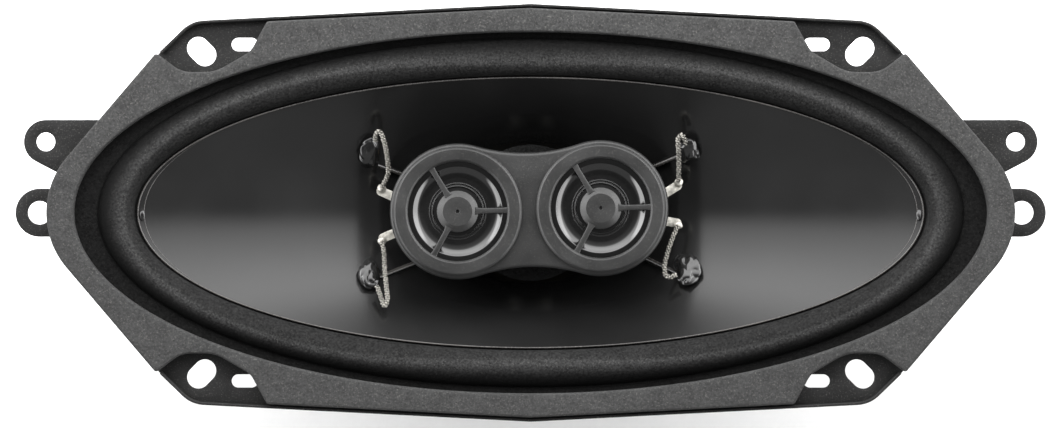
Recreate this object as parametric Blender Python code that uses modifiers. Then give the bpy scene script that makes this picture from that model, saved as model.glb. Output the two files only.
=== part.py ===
"""Coaxial car speaker, 4 x 10 inch class: one oval cone, two small tweeters on a bridge above it.

The part stands on the back of its magnet. +Z is the front, towards the listener, +X runs along the
long axis and the origin is the middle of the magnet's back face. All lengths are in metres.
"""

import math

import bmesh
import bpy
from mathutils import Matrix, Vector

MM = 0.001

# Driving dimensions
GAP = 0.3 * MM  # kept between neighbours that touch on the real part
SHEET = 0.8 * MM  # pressed steel of the basket
FLANGE_BACK = 60.0 * MM  # mounting depth: magnet back to the rear face of the flange
FLANGE_FRONT = FLANGE_BACK + SHEET
HALF_WIDTH = 53.5 * MM
TOP_PEAK = 53.577 * MM  # where the two halves of a long edge would meet
TOP_SLOPE = 0.051  # the long edges fall away from the middle by this much
CORNER_X = 87.0 * MM
CORNER_LEAN = 136.4 * MM  # x + y along the steel corner's 45 degree edge
CORNER_DRIFT = 0.4  # share of an inset by which the corner moves in along X
CORNER_RADIUS = 8.5 * MM
END_CENTRE_X = 102.2 * MM
END_NORMAL = (0.761, 0.649)  # the direction that the short sides' sloping edge faces
END_ANGLE = math.degrees(math.atan2(END_NORMAL[1], END_NORMAL[0]))
GASKET_END_RADIUS = 21.8 * MM
GASKET_THICK = 4.2 * MM
GASKET_BACK = FLANGE_FRONT + GAP
GASKET_FRONT = GASKET_BACK + GASKET_THICK
STEEL_INSET = 0.4 * MM  # the steel ends this far inside the gasket along the short sides
LIP_HEIGHT = 2.4 * MM

# End tabs: centre, outer radius and hole radius
UPPER_TAB = ((124.5 * MM, 18.2 * MM), 5.65 * MM, 2.4 * MM)
MIDDLE_TAB = ((126.1 * MM, 0.0), 6.2 * MM, 3.0 * MM)
UPPER_TAB_END = -62.5  # degrees round the tab where its edge runs straight to the flange
UPPER_TAB_MEETS = 28.0  # degrees round the flange's end where that edge arrives

# Corner slots: centre, half length between the end centres, radius
DIAGONAL_SLOT = ((84.5 * MM, 41.4 * MM), 1.2 * MM, 2.9 * MM)
LEVEL_SLOT = ((73.4 * MM, 43.2 * MM), 1.7 * MM, 1.7 * MM)

# The pressed bowl's middle surface above its seat: half length, half width, height
BOWL_SEAT = (16.5 * MM, 31.2 * MM)  # radii of the flat ring under the rivets
BOWL_RINGS = (
    (32.6 * MM, 32.6 * MM, 24.8 * MM),
    (33.2 * MM, 33.2 * MM, 31.0 * MM),
    (34.2 * MM, 34.2 * MM, 32.0 * MM),
    (38.0 * MM, 38.0 * MM, 32.0 * MM),
    (44.0 * MM, 39.6 * MM, 34.0 * MM),
    (98.0 * MM, 42.8 * MM, 50.0 * MM),
    (107.5 * MM, 44.2 * MM, 53.5 * MM),
    (111.9 * MM, 45.15 * MM, 57.0 * MM),
)

# Bowl windows
WINDOW_INNER = (44.5 * MM, 11, 50)  # radius, and degrees from and to
WINDOW_OUTER = ((92.0 * MM, 37.0 * MM), 13.3, 67)  # half axes, and degrees from and to
WINDOW_CORNER = 2.5 * MM
WINDOW_CUT = (30.0 * MM, 58.0 * MM)
SIDE_WINDOW = (17.0 * MM, 37.5 * MM, 49.5 * MM)  # half length, low and high
SIDE_WINDOW_CORNER = 3.0 * MM

GASKET_OPENING = (117.0 * MM, 46.3 * MM)  # half axes
BASKET_MOUTH = (112.35 * MM, 45.45 * MM)
SURROUND_RIM = (117.8 * MM, 47.3 * MM)
ROLL_OUTER = (110.9 * MM, 44.5 * MM)
ROLL_WIDTH = 9.0 * MM
ROLL_HEIGHT = 3.4 * MM
SURROUND_THICK = 0.5 * MM
CONE_RIM = (100.9 * MM, 34.8 * MM)
CONE_NECK = 13.3 * MM
CONE_NECK_Z = 37.0 * MM
CONE_RIM_Z = 61.6 * MM
CONE_THICK = 0.5 * MM

MAGNET_RADIUS = 35.0 * MM
MAGNET_BORE = 17.5 * MM
PLATE_RADIUS = 32.0 * MM
BACK_PLATE_RADIUS = 31.0 * MM
PLATE_THICK = 5.0 * MM
MAGNET_THICK = 12.0 * MM
POLE_RADIUS = 12.2 * MM
POLE_BORE = 3.3 * MM
TOP_PLATE_BORE = 14.9 * MM
FORMER_RADIUS = 13.0 * MM
FORMER_WALL = 0.3 * MM
FORMER_BOTTOM = 14.6 * MM
WINDING_HEIGHT = 11.0 * MM
WINDING_WALL = 0.4 * MM
RIVET_CIRCLE = 26.0 * MM
SPIDER_RADIUS = 37.0 * MM
SPIDER_THICK = 0.4 * MM
SPIDER_WAVES = (15.2 * MM, 32.4 * MM)  # radii between which the cloth is corrugated
SPIDER_HALF_WAVES = 7
SPIDER_WAVE_HEIGHT = 1.1 * MM
SHELF_Z = 32.0 * MM

BRIDGE_X = -0.4 * MM
BRIDGE_Y = 0.75 * MM
BRIDGE_TURN = math.radians(1.3)
CUP_RADIUS = 17.45 * MM
CUP_SPREAD = 18.35 * MM  # from the middle of the bridge to each tweeter's axis
WAIST_HALF = 14.7 * MM
BRIDGE_BOTTOM = 50.0 * MM
BRIDGE_DECK = 62.0 * MM
BRIDGE_WALL = 1.4 * MM
FACE_TOP = 64.0 * MM
FACE_RADIUS = 16.6 * MM
FACE_OPENING = 12.75 * MM
POST_RADIUS = 5.0 * MM
LEAD_RADIUS = 0.6 * MM
WIRE_RADIUS = 0.35 * MM

AROUND_OVAL = 48
AROUND_MOTOR = 32
AROUND_SMALL = 20

SIDES = {"left": -1, "right": 1}


# Scene, materials and helpers


def clear_scene():
    for obj in list(bpy.data.objects):
        bpy.data.objects.remove(obj, do_unlink=True)


def new_collection(name):
    made = bpy.data.collections.new(name)
    bpy.context.scene.collection.children.link(made)
    return made


def new_material(name, colour, roughness, metallic=0.0):
    made = bpy.data.materials.new(name)
    made.use_nodes = True
    shader = made.node_tree.nodes["Principled BSDF"]
    shader.inputs["Base Color"].default_value = (*colour, 1.0)
    shader.inputs["Roughness"].default_value = roughness
    shader.inputs["Metallic"].default_value = metallic
    made.diffuse_color = (*colour, 1.0)
    return made


def add_object(name, data, material=None, parent=None):
    """Puts a mesh or curve into the speaker's collection, or into the cutters' when it has no material."""
    made = bpy.data.objects.new(name, data)
    if material:
        data.materials.append(material)
        PARTS.objects.link(made)
    else:
        CUTTERS.objects.link(made)
        made.hide_render = True
        made.display_type = "WIRE"
    made.parent = parent
    return made


def add_empty(name, location=(0, 0, 0), turn=0.0, parent=None):
    made = bpy.data.objects.new(name, None)
    made.location = location
    made.rotation_euler = (0, 0, turn)
    made.parent = parent
    PARTS.objects.link(made)
    return made


def boolean(target, cutter, operation="DIFFERENCE"):
    modifier = target.modifiers.new(operation.lower(), "BOOLEAN")
    modifier.object = cutter
    modifier.operation = operation
    modifier.solver = "EXACT"


def solidify(target, thickness):
    modifier = target.modifiers.new("sheet", "SOLIDIFY")
    modifier.thickness = thickness
    modifier.offset = 0.0
    modifier.use_even_offset = True


def bevel(target, width, segments=1, angle=40.0):
    modifier = target.modifiers.new("edge", "BEVEL")
    modifier.width = width
    modifier.segments = segments
    modifier.limit_method = "ANGLE"
    modifier.angle_limit = math.radians(angle)


def smooth(mesh, angle=35.0):
    mesh.shade_smooth()
    mesh.set_sharp_from_angle(angle=math.radians(angle))


# Outlines in the plane


def arc(centre, radius, start, end, steps):
    """Points from the start angle to the end angle, both in degrees and both included."""
    angles = [math.radians(start + (end - start) * i / steps) for i in range(steps + 1)]
    return [(centre[0] + radius * math.cos(a), centre[1] + radius * math.sin(a)) for a in angles]


def ellipse(axes, steps=AROUND_OVAL):
    angles = [2 * math.pi * i / steps for i in range(steps)]
    return [(axes[0] * math.cos(a), axes[1] * math.sin(a)) for a in angles]


def fillet(before, corner, after, radius, steps):
    """The arc that rounds one corner of a polygon."""
    corner = Vector(corner)
    back = (Vector(before) - corner).normalized()
    on = (Vector(after) - corner).normalized()
    half = back.angle(on) / 2
    centre = corner + (back + on).normalized() * radius / math.sin(half)
    first = corner + back * radius / math.tan(half) - centre
    last = corner + on * radius / math.tan(half) - centre
    sweep = first.angle_signed(last)
    made = []
    for i in range(steps + 1):
        turned = Matrix.Rotation(-sweep * i / steps, 2) @ first
        made.append(tuple(centre + turned))
    return made


def rounded(corners):
    """A closed outline from (point, radius, steps) corners; radius 0 keeps a point sharp."""
    made = []
    for i, (point, radius, steps) in enumerate(corners):
        if radius:
            before = corners[i - 1][0]
            after = corners[(i + 1) % len(corners)][0]
            made += fillet(before, point, after, radius, steps)
        else:
            made.append(tuple(point))
    return made


def slot(centre, half_length, radius, turn, steps=5):
    """A round-ended slot; half_length is from its middle to each end's centre."""
    along = math.radians(turn)
    reach = (half_length * math.cos(along), half_length * math.sin(along))
    far = (centre[0] + reach[0], centre[1] + reach[1])
    near = (centre[0] - reach[0], centre[1] - reach[1])
    made = arc(far, radius, turn - 90, turn + 90, steps)
    return made + arc(near, radius, turn + 90, turn + 270, steps)


def mirrored_x(half):
    """Closes an outline that runs from top to bottom on the +X side with its own mirror image."""
    left = [(-x, y) for x, y in reversed(half) if abs(x) > 0.01 * MM]
    return half + left


# Solids


def flat_curve(name, outlines, low, high):
    """Flat outlines, the first outside and the rest holes, extruded from low to high."""
    data = bpy.data.curves.new(name, "CURVE")
    data.dimensions = "2D"
    data.fill_mode = "BOTH"
    data.extrude = (high - low) / 2
    for outline in outlines:
        spline = data.splines.new("POLY")
        spline.points.add(len(outline) - 1)
        for point, (x, y) in zip(spline.points, outline):
            point.co = (x, y, 0, 1)
        spline.use_cyclic_u = True
    made = add_object(name, data)
    made.location.z = (high + low) / 2
    return made


def plate(name, outlines, low, high, material=None, parent=None, turn_up=False):
    """A mesh plate with welded caps. turn_up stands the outline's plane up, facing Y."""
    source = flat_curve(name + "_outline", outlines, low, high)
    if turn_up:
        source.location.z = 0
        source.rotation_euler.x = math.pi / 2
    bpy.context.view_layer.update()
    graph = bpy.context.evaluated_depsgraph_get()
    mesh = bpy.data.meshes.new_from_object(source.evaluated_get(graph))
    mesh.transform(source.matrix_world)
    shape = bmesh.new()
    shape.from_mesh(mesh)
    bmesh.ops.remove_doubles(shape, verts=shape.verts, dist=1e-6)
    shape.to_mesh(mesh)
    shape.free()
    mesh.materials.clear()
    mesh.name = name
    bpy.data.objects.remove(source, do_unlink=True)
    smooth(mesh, 30)
    return add_object(name, mesh, material, parent)


def lathe(name, profile, material, steps=AROUND_MOTOR, closed=True, centre=(0, 0), parent=None):
    """Turns a profile of (radius, height) points about Z.

    A closed profile starts at its inner top corner and an open one on the axis; both run over the
    top and down the outer side.
    """
    count = len(profile)
    edges = [(i, i + 1) for i in range(count - 1)]
    if closed:
        edges.append((count - 1, 0))
    mesh = bpy.data.meshes.new(name)
    mesh.from_pydata([(r, 0, z) for r, z in profile], edges, [])
    made = add_object(name, mesh, material, parent)
    made.location = (centre[0], centre[1], 0)
    screw = made.modifiers.new("turn", "SCREW")
    screw.axis = "Z"
    screw.angle = 2 * math.pi
    screw.steps = steps
    screw.render_steps = steps
    screw.use_merge_vertices = True
    screw.merge_threshold = 1e-6
    screw.use_smooth_shade = False
    return made


def ring_profile(inner, outer, low, high):
    return [(inner, high), (outer, high), (outer, low), (inner, low)]


def loft(name, rings, material, thickness, parent=None, steps=AROUND_OVAL):
    """A thin shell through elliptical rings of (half length, half width, height)."""
    points = [(x, y, z) for a, b, z in rings for x, y in ellipse((a, b), steps)]
    faces = []
    for row in range(len(rings) - 1):
        for i in range(steps):
            j = (i + 1) % steps
            first = row * steps
            faces.append((first + i, first + j, first + steps + j, first + steps + i))
    mesh = bpy.data.meshes.new(name)
    mesh.from_pydata(points, [], faces)
    smooth(mesh, 50)
    made = add_object(name, mesh, material, parent)
    solidify(made, thickness)
    return made


def box(name, size, location, material=None, parent=None, tilt=0.0):
    shape = bmesh.new()
    bmesh.ops.create_cube(shape, size=1.0)
    bmesh.ops.scale(shape, vec=size, verts=shape.verts)
    mesh = bpy.data.meshes.new(name)
    shape.to_mesh(mesh)
    shape.free()
    made = add_object(name, mesh, material, parent)
    made.location = location
    made.rotation_euler = (0, tilt, 0)
    return made


def cylinder(name, radius, low, high, centre=(0, 0), material=None, parent=None, steps=AROUND_SMALL):
    shape = bmesh.new()
    bmesh.ops.create_cone(
        shape, cap_ends=True, segments=steps, radius1=radius, radius2=radius, depth=high - low
    )
    mesh = bpy.data.meshes.new(name)
    shape.to_mesh(mesh)
    shape.free()
    smooth(mesh)
    made = add_object(name, mesh, material, parent)
    made.location = (centre[0], centre[1], (low + high) / 2)
    return made


def tube(name, points, radius, material, parent=None):
    data = bpy.data.curves.new(name, "CURVE")
    data.dimensions = "3D"
    data.bevel_depth = radius
    data.bevel_resolution = 2
    data.use_fill_caps = True
    spline = data.splines.new("POLY")
    spline.points.add(len(points) - 1)
    for point, place in zip(spline.points, points):
        point.co = (*place, 1)
    return add_object(name, data, material, parent)


def smooth_route(points, steps):
    """Points along a Catmull-Rom curve through a route's own points."""
    ends = [Vector(points[0]) * 2 - Vector(points[1]), Vector(points[-1]) * 2 - Vector(points[-2])]
    route = [ends[0]] + [Vector(p) for p in points] + [ends[1]]
    made = []
    for i in range(1, len(route) - 2):
        p0, p1, p2, p3 = route[i - 1 : i + 3]
        for k in range(steps):
            t = k / steps
            made.append(
                0.5
                * (
                    2 * p1
                    + (p2 - p0) * t
                    + (2 * p0 - 5 * p1 + 4 * p2 - p3) * t**2
                    + (3 * p1 - p0 - 3 * p2 + p3) * t**3
                )
            )
    return made + [route[-2]]


# The cone's surface, which several pieces lie on


def cone_ring(t):
    """The cone's middle surface as an ellipse, from its neck at t = 0 to its rim at t = 1."""
    half_length = CONE_NECK + (CONE_RIM[0] - CONE_NECK) * t
    half_width = CONE_NECK + (CONE_RIM[1] - CONE_NECK) * t
    height = CONE_NECK_Z + (CONE_RIM_Z - CONE_NECK_Z) * t
    return half_length, half_width, height


def cone_height(x, y):
    """Height of the cone's middle surface over a point, by halving t until its ellipse meets the point."""
    low, high = 0.0, 1.0
    for _ in range(40):
        t = (low + high) / 2
        a, b, _ = cone_ring(t)
        if (x / a) ** 2 + (y / b) ** 2 > 1:
            low = t
        else:
            high = t
    return cone_ring(low)[2]


def cone_normal(x, y):
    step = 0.2 * MM
    slope_x = (cone_height(x + step, y) - cone_height(x - step, y)) / (2 * step)
    slope_y = (cone_height(x, y + step) - cone_height(x, y - step)) / (2 * step)
    return Vector((-slope_x, -slope_y, 1)).normalized()


# Basket


def top_edge(x, inset=0.0):
    """Height in the plane of the basket's long edge, which is a very flat peak at the middle."""
    return TOP_PEAK - inset - TOP_SLOPE * abs(x)


def gasket_diagonal(inset):
    """The short sides' sloping edge as (normal, distance), moved inwards by inset."""
    normal = Vector(END_NORMAL).normalized()
    return normal, normal.x * END_CENTRE_X + GASKET_END_RADIUS - inset


def on_diagonal(y, inset):
    normal, distance = gasket_diagonal(inset)
    return (distance - normal.y * y) / normal.x


def flange_corner(inset=0.0):
    """The three corners where the long edge turns into the short side's slope."""
    lean = CORNER_LEAN - inset * math.sqrt(2)
    corner_x = CORNER_X - inset * CORNER_DRIFT
    corner = (corner_x, top_edge(corner_x, inset))
    normal, distance = gasket_diagonal(STEEL_INSET + inset)
    x = (distance - normal.y * lean) / (normal.x - normal.y)
    return corner, (x, lean - x)


def tab_outline(upper):
    """One end tab's edge, in the order that the flange's outline meets it."""
    if upper:
        centre, radius, _ = UPPER_TAB
        join = (on_diagonal(centre[1] + radius, STEEL_INSET), centre[1] + radius)
        return [join] + arc(centre, radius, 90, UPPER_TAB_END, 9)
    centre, radius, _ = MIDDLE_TAB
    return arc(centre, radius, 90, -90, 10)


def flange_outline():
    end_radius = GASKET_END_RADIUS - STEEL_INSET
    centre = (END_CENTRE_X, 0)
    corner, knee = flange_corner()
    start = (0.0, top_edge(0))
    top = [(0.0, HALF_WIDTH)] + fillet(start, corner, knee, CORNER_RADIUS, 5) + [knee]
    middle_meets = math.degrees(math.asin(MIDDLE_TAB[1] / end_radius))
    half = list(top)
    half += tab_outline(True)
    half += arc(centre, end_radius, UPPER_TAB_MEETS, middle_meets, 2)
    half += tab_outline(False)
    half += arc(centre, end_radius, -middle_meets, -END_ANGLE, 5)
    half += [(x, -y) for x, y in reversed(top)]
    return mirrored_x(half)


def lip_outline(side):
    """The turned-up edge along one long side, from corner to corner."""
    outer_half = []
    for inset in (0.0, SHEET):
        corner, knee = flange_corner(inset)
        radius = CORNER_RADIUS - inset
        points = [(0.0, top_edge(0, inset))]
        points += fillet(points[0], corner, knee, radius, 5) + [knee]
        outer_half.append([(x, side * y) for x, y in points])
    outer, inner = outer_half
    left_outer = [(-x, y) for x, y in reversed(outer[1:])]
    left_inner = [(-x, y) for x, y in reversed(inner[1:])]
    return left_outer + outer + list(reversed(left_inner + inner))


def mounting_slots():
    holes = []
    for sx in (-1, 1):
        for sy in (-1, 1):
            for ((x, y), half_length, radius), turn in ((DIAGONAL_SLOT, 45 * sx * sy), (LEVEL_SLOT, 0)):
                holes.append(slot((sx * x, sy * y), half_length, radius, turn))
    return holes


def tab_holes():
    holes = []
    for sx in (-1, 1):
        for (x, y), _, radius in (UPPER_TAB, MIDDLE_TAB):
            holes.append(arc((sx * x, y), radius, 0, 337.5, 15))
    return holes


def window_outline(sx, sy):
    """One end window in plan: between the spider shelf and the rim, beside the rib on the long axis."""
    inner = arc((0, 0), *WINDOW_INNER, 4)
    axes, first, last = WINDOW_OUTER
    angles = [math.radians(first + (last - first) * i / 6) for i in range(7)]
    outer = [(axes[0] * math.cos(a), axes[1] * math.sin(a)) for a in angles]
    points = list(reversed(inner)) + outer
    count = len(points)
    ends = {0, len(inner) - 1, len(inner), count - 1}
    corners = [(p, WINDOW_CORNER if i in ends else 0, 3) for i, p in enumerate(points)]
    return [(sx * x, sy * y) for x, y in rounded(corners)]


def basket_rings():
    """The pressed bowl's middle surface, from the motor seat out to the mouth."""
    seat = MAGNET_THICK + 2 * PLATE_THICK + 3 * GAP + SHEET / 2
    flat = [(radius, radius, seat) for radius in BOWL_SEAT]
    return flat + list(BOWL_RINGS) + [(*BASKET_MOUTH, FLANGE_BACK + 0.5 * MM)]


def rivet_places():
    return arc((0, 0), RIVET_CIRCLE, 45, 315, 3)


def make_basket(rivet_cutters):
    basket = loft("basket_frame", basket_rings(), STEEL, SHEET)
    flange = plate(
        "flange_sheet",
        [flange_outline(), ellipse(BASKET_MOUTH)] + mounting_slots() + tab_holes(),
        FLANGE_BACK,
        FLANGE_FRONT,
    )
    boolean(basket, flange, "UNION")
    for side in (-1, 1):
        lip = plate(
            "lip_sheet", [lip_outline(side)], FLANGE_BACK + 0.2 * MM, FLANGE_FRONT + LIP_HEIGHT
        )
        boolean(basket, lip, "UNION")
    for sx in (-1, 1):
        for sy in (-1, 1):
            boolean(basket, plate("end_window", [window_outline(sx, sy)], *WINDOW_CUT))
    half, low, high = SIDE_WINDOW
    corners = [(-half, low), (half, low), (half, high), (-half, high)]
    outline = rounded([(corner, SIDE_WINDOW_CORNER, 3) for corner in corners])
    boolean(basket, plate("side_windows", [outline], -60 * MM, 60 * MM, turn_up=True))
    for cutter in rivet_cutters:
        boolean(basket, cutter)
    return basket


# Gasket


def gasket_outline():
    edge = HALF_WIDTH - SHEET - GAP
    notch_x = 67.5 * MM
    tip = (95.95 * MM, 40.9 * MM)
    corners = [
        ((0.0, edge), 0, 1),
        ((notch_x, edge - TOP_SLOPE * notch_x), 0.8 * MM, 2),
        ((71.7 * MM, 41.3 * MM), 5 * MM, 3),
        ((80.8 * MM, 36.0 * MM), 10 * MM, 2),
        ((89.45 * MM, 36.0 * MM), 8 * MM, 3),
        (tip, 0.7 * MM, 2),
        ((on_diagonal(20 * MM, 0), 20 * MM), 0, 1),
    ]
    top = rounded(corners)
    half = top[:-1] + arc((END_CENTRE_X, 0), GASKET_END_RADIUS, END_ANGLE, -END_ANGLE, 12)
    half += [(x, -y) for x, y in reversed(top[:-1])]
    return mirrored_x(half)


def make_gasket():
    gasket = plate(
        "front_gasket",
        [gasket_outline(), ellipse(GASKET_OPENING)],
        GASKET_BACK,
        GASKET_FRONT,
        FIBRE,
    )
    rebate = tuple(axis + 0.6 * MM for axis in SURROUND_RIM)
    depth = GASKET_BACK + SURROUND_THICK + GAP
    boolean(gasket, plate("rim_rebate", [ellipse(rebate)], FLANGE_BACK, depth))
    return gasket


# Suspension and cone


def surround_rings():
    rim_z = GASKET_BACK + SURROUND_THICK / 2
    rings = [(*SURROUND_RIM, rim_z), (111.5 * MM, 45.0 * MM, rim_z)]
    bends = 7
    for i in range(bends + 1):
        turn = math.pi * i / bends
        inwards = ROLL_WIDTH / 2 * (1 - math.cos(turn))
        lift = ROLL_HEIGHT * math.sin(turn)
        rings.append((ROLL_OUTER[0] - inwards, ROLL_OUTER[1] - inwards, rim_z + lift))
    for t in (1.0, 0.97):
        a, b, z = cone_ring(t)
        rings.append((a, b, z - 1.3 * MM))
    return rings


def make_cone(parent):
    rings = [cone_ring(i / 5) for i in range(6)]
    return loft("cone", rings, POLYMER, CONE_THICK, parent)


def make_spider():
    """A corrugated disc: flat at both edges, with waves between."""
    flat = SHELF_Z + SHEET / 2 + GAP + SPIDER_THICK / 2
    inner, outer = FORMER_RADIUS + GAP, SPIDER_RADIUS
    start, end = SPIDER_WAVES
    rings = [(inner, inner, flat), (start, start, flat)]
    for i in range(SPIDER_HALF_WAVES):
        radius = start + (end - start) * (i + 0.5) / SPIDER_HALF_WAVES
        lift = SPIDER_WAVE_HEIGHT * (1 if i % 2 == 0 else -1)
        rings.append((radius, radius, flat + lift))
    edge = end + 1.0 * MM
    rings += [(edge, edge, flat), (outer, outer, flat)]
    return loft("spider", rings, CLOTH, SPIDER_THICK, steps=AROUND_MOTOR)


# Motor


def make_motor(rivet_cutters):
    top_of_back = PLATE_THICK
    pole_top = 22.8 * MM
    lathe(
        "back_plate_and_pole",
        [
            (POLE_BORE, pole_top),
            (POLE_RADIUS, pole_top),
            (POLE_RADIUS, top_of_back),
            (BACK_PLATE_RADIUS, top_of_back),
            (BACK_PLATE_RADIUS, 0),
            (POLE_BORE, 0),
        ],
        PLATED,
    )
    magnet_low = PLATE_THICK + GAP
    magnet_high = magnet_low + MAGNET_THICK
    chamfer = 0.8 * MM
    lathe(
        "magnet_ring",
        [
            (MAGNET_BORE, magnet_high),
            (MAGNET_RADIUS - chamfer, magnet_high),
            (MAGNET_RADIUS, magnet_high - chamfer),
            (MAGNET_RADIUS, magnet_low + chamfer),
            (MAGNET_RADIUS - chamfer, magnet_low),
            (MAGNET_BORE, magnet_low),
        ],
        FERRITE,
    )
    plate_low = magnet_high + GAP
    top_plate = lathe(
        "top_plate",
        ring_profile(TOP_PLATE_BORE, PLATE_RADIUS, plate_low, plate_low + PLATE_THICK),
        PLATED,
    )
    for cutter in rivet_cutters:
        boolean(top_plate, cutter)


def make_rivets():
    """Four rivets hold the basket to the top plate. Returns their clearance holes' cutters."""
    cutters = []
    head_low = MAGNET_THICK + 2 * PLATE_THICK + 3 * GAP + SHEET + GAP
    for number, (x, y) in enumerate(rivet_places(), 1):
        profile = [
            (0, head_low + 1.3 * MM),
            (1.9 * MM, head_low + 1.0 * MM),
            (3.0 * MM, head_low),
            (1.6 * MM, head_low),
            (1.6 * MM, 18.4 * MM),
            (0, 18.4 * MM),
        ]
        lathe(f"frame_rivet_{number}", profile, PLATED, 12, closed=False, centre=(x, y))
        cutters.append(cylinder("rivet_hole", 2.0 * MM, 16 * MM, 26 * MM, (x, y), steps=12))
    return cutters


def make_voice_coil(parent):
    inner = FORMER_RADIUS - FORMER_WALL
    top = 42.6 * MM
    lathe(
        "voice_coil_former",
        ring_profile(inner, FORMER_RADIUS, FORMER_BOTTOM, top),
        FOIL,
        parent=parent,
    )
    for number, name in enumerate(("winding_a", "winding_b")):
        low = FORMER_RADIUS + GAP + number * (WINDING_WALL + GAP)
        profile = ring_profile(low, low + WINDING_WALL, FORMER_BOTTOM, FORMER_BOTTOM + WINDING_HEIGHT)
        lathe(f"voice_coil_{name}", profile, COPPER, parent=parent)
    lathe(
        "foam_dust_ring",
        ring_profile(7.3 * MM, 17.7 * MM, top + GAP, 45.7 * MM),
        FOAM,
        parent=parent,
    )


# Post and bridge


def make_post():
    lathe(
        "tweeter_post",
        [
            (0, 56.5 * MM),
            (2.6 * MM, 56.5 * MM),
            (2.6 * MM, 49.9 * MM),
            (POST_RADIUS, 49.9 * MM),
            (POST_RADIUS, 23.1 * MM),
            (3.0 * MM, 23.1 * MM),
            (3.0 * MM, 8.0 * MM),
            (0, 8.0 * MM),
        ],
        PLATED,
        AROUND_SMALL,
        closed=False,
    )
    nut = cylinder("post_nut", 4.6 * MM, 51.7 * MM, 54.7 * MM, material=PLATED, steps=6)
    boolean(nut, cylinder("nut_hole", 2.9 * MM, 50 * MM, 56 * MM, steps=AROUND_SMALL))


def peanut(inset, steps=14):
    """The bridge's outline: two cups joined by a waist whose sides curve inwards."""
    side_radius = (CUP_SPREAD**2 + WAIST_HALF**2 - CUP_RADIUS**2) / (2 * (CUP_RADIUS - WAIST_HALF))
    rise = WAIST_HALF + side_radius
    turn = math.degrees(math.atan2(rise, -CUP_SPREAD))
    cup = CUP_RADIUS - inset
    side = side_radius + inset
    lean = turn - 90
    right = arc((CUP_SPREAD, 0), cup, -turn, turn, steps)
    top = arc((0, rise), side, -90 + lean, -90 - lean, 6)[1:-1]
    left = arc((-CUP_SPREAD, 0), cup, 180 - turn, 180 + turn, steps)
    bottom = arc((0, -rise), side, 90 + lean, 90 - lean, 6)[1:-1]
    return right + top + left + bottom


def make_bridge(mount):
    housing = plate("tweeter_bridge", [peanut(0)], BRIDGE_BOTTOM, BRIDGE_DECK, MOULDED, mount)
    bevel(housing, 1.0 * MM, 2)
    ceiling = BRIDGE_DECK - BRIDGE_WALL
    hollow = plate("bridge_hollow", [peanut(BRIDGE_WALL)], BRIDGE_BOTTOM - 2 * MM, ceiling)
    hollow.parent = mount
    boolean(housing, hollow)
    for side in SIDES.values():
        opening = cylinder(
            "face_opening",
            14.6 * MM,
            BRIDGE_BOTTOM,
            BRIDGE_DECK + 2 * MM,
            (side * CUP_SPREAD, 0),
            parent=mount,
            steps=32,
        )
        boolean(housing, opening)
    base_inset = BRIDGE_WALL + GAP
    base = plate(
        "bridge_base", [peanut(base_inset)], BRIDGE_BOTTOM + 0.2 * MM, 51.4 * MM, MOULDED, mount
    )
    boolean(base, cylinder("post_hole", 3.9 * MM, 49 * MM, 53 * MM, steps=AROUND_SMALL))
    for name, side in (("upper", 1), ("lower", -1)):
        can = cylinder(
            f"capacitor_{name}", 2.6 * MM, -5 * MM, 5 * MM, material=SLEEVE, parent=mount, steps=16
        )
        can.location = (0, side * 9.4 * MM, 54.6 * MM)
        can.rotation_euler = (0, math.pi / 2, 0)


def make_tweeter(name, side, mount, axis):
    """One tweeter: pot, magnet and pole plate on the bridge; dome and coil on the moving axis."""
    centre = (side * CUP_SPREAD, 0)
    lathe(
        f"tweeter_{name}_pot",
        [
            (0, 53.2 * MM),
            (8.6 * MM, 53.2 * MM),
            (8.6 * MM, 59.9 * MM),
            (12.2 * MM, 59.9 * MM),
            (12.2 * MM, 51.7 * MM),
            (0, 51.7 * MM),
        ],
        PLATED,
        AROUND_SMALL,
        closed=False,
        centre=centre,
        parent=mount,
    )
    cylinder(f"tweeter_{name}_magnet", 6.2 * MM, 53.5 * MM, 57.0 * MM, centre, NEODYMIUM, mount)
    cylinder(f"tweeter_{name}_pole_plate", 6.7 * MM, 57.3 * MM, 59.0 * MM, centre, PLATED, mount)
    make_face(name, centre, mount)
    lathe(
        f"tweeter_{name}_coil",
        ring_profile(7.3 * MM, 7.7 * MM, 55.6 * MM, 59.8 * MM),
        COPPER,
        AROUND_SMALL,
        parent=axis,
    )
    lathe(
        f"tweeter_{name}_diaphragm", dome_profile(), FILM, AROUND_SMALL, closed=False, parent=axis
    )


def dome_profile():
    """A thin dome inside a half roll, as one closed skin: over the top, then back underneath."""
    thick = 0.3 * MM
    rim, crease, rim_z = 12.1 * MM, 7.3 * MM, 60.55 * MM
    top = []
    for i in range(4):
        radius = crease * i / 4
        top.append((radius, rim_z + 1.35 * MM * (1 - (radius / crease) ** 2)))
    top.append((crease, rim_z))
    middle = (rim + crease) / 2
    half = (rim - crease) / 2
    for i in range(1, 4):
        turn = math.pi * (1 - i / 4)
        top.append((middle + half * math.cos(turn), rim_z + 1.35 * MM * math.sin(turn)))
    top += [(rim, rim_z), (12.9 * MM, rim_z)]
    under = [(radius, z - thick) for radius, z in reversed(top)]
    return top + under


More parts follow.
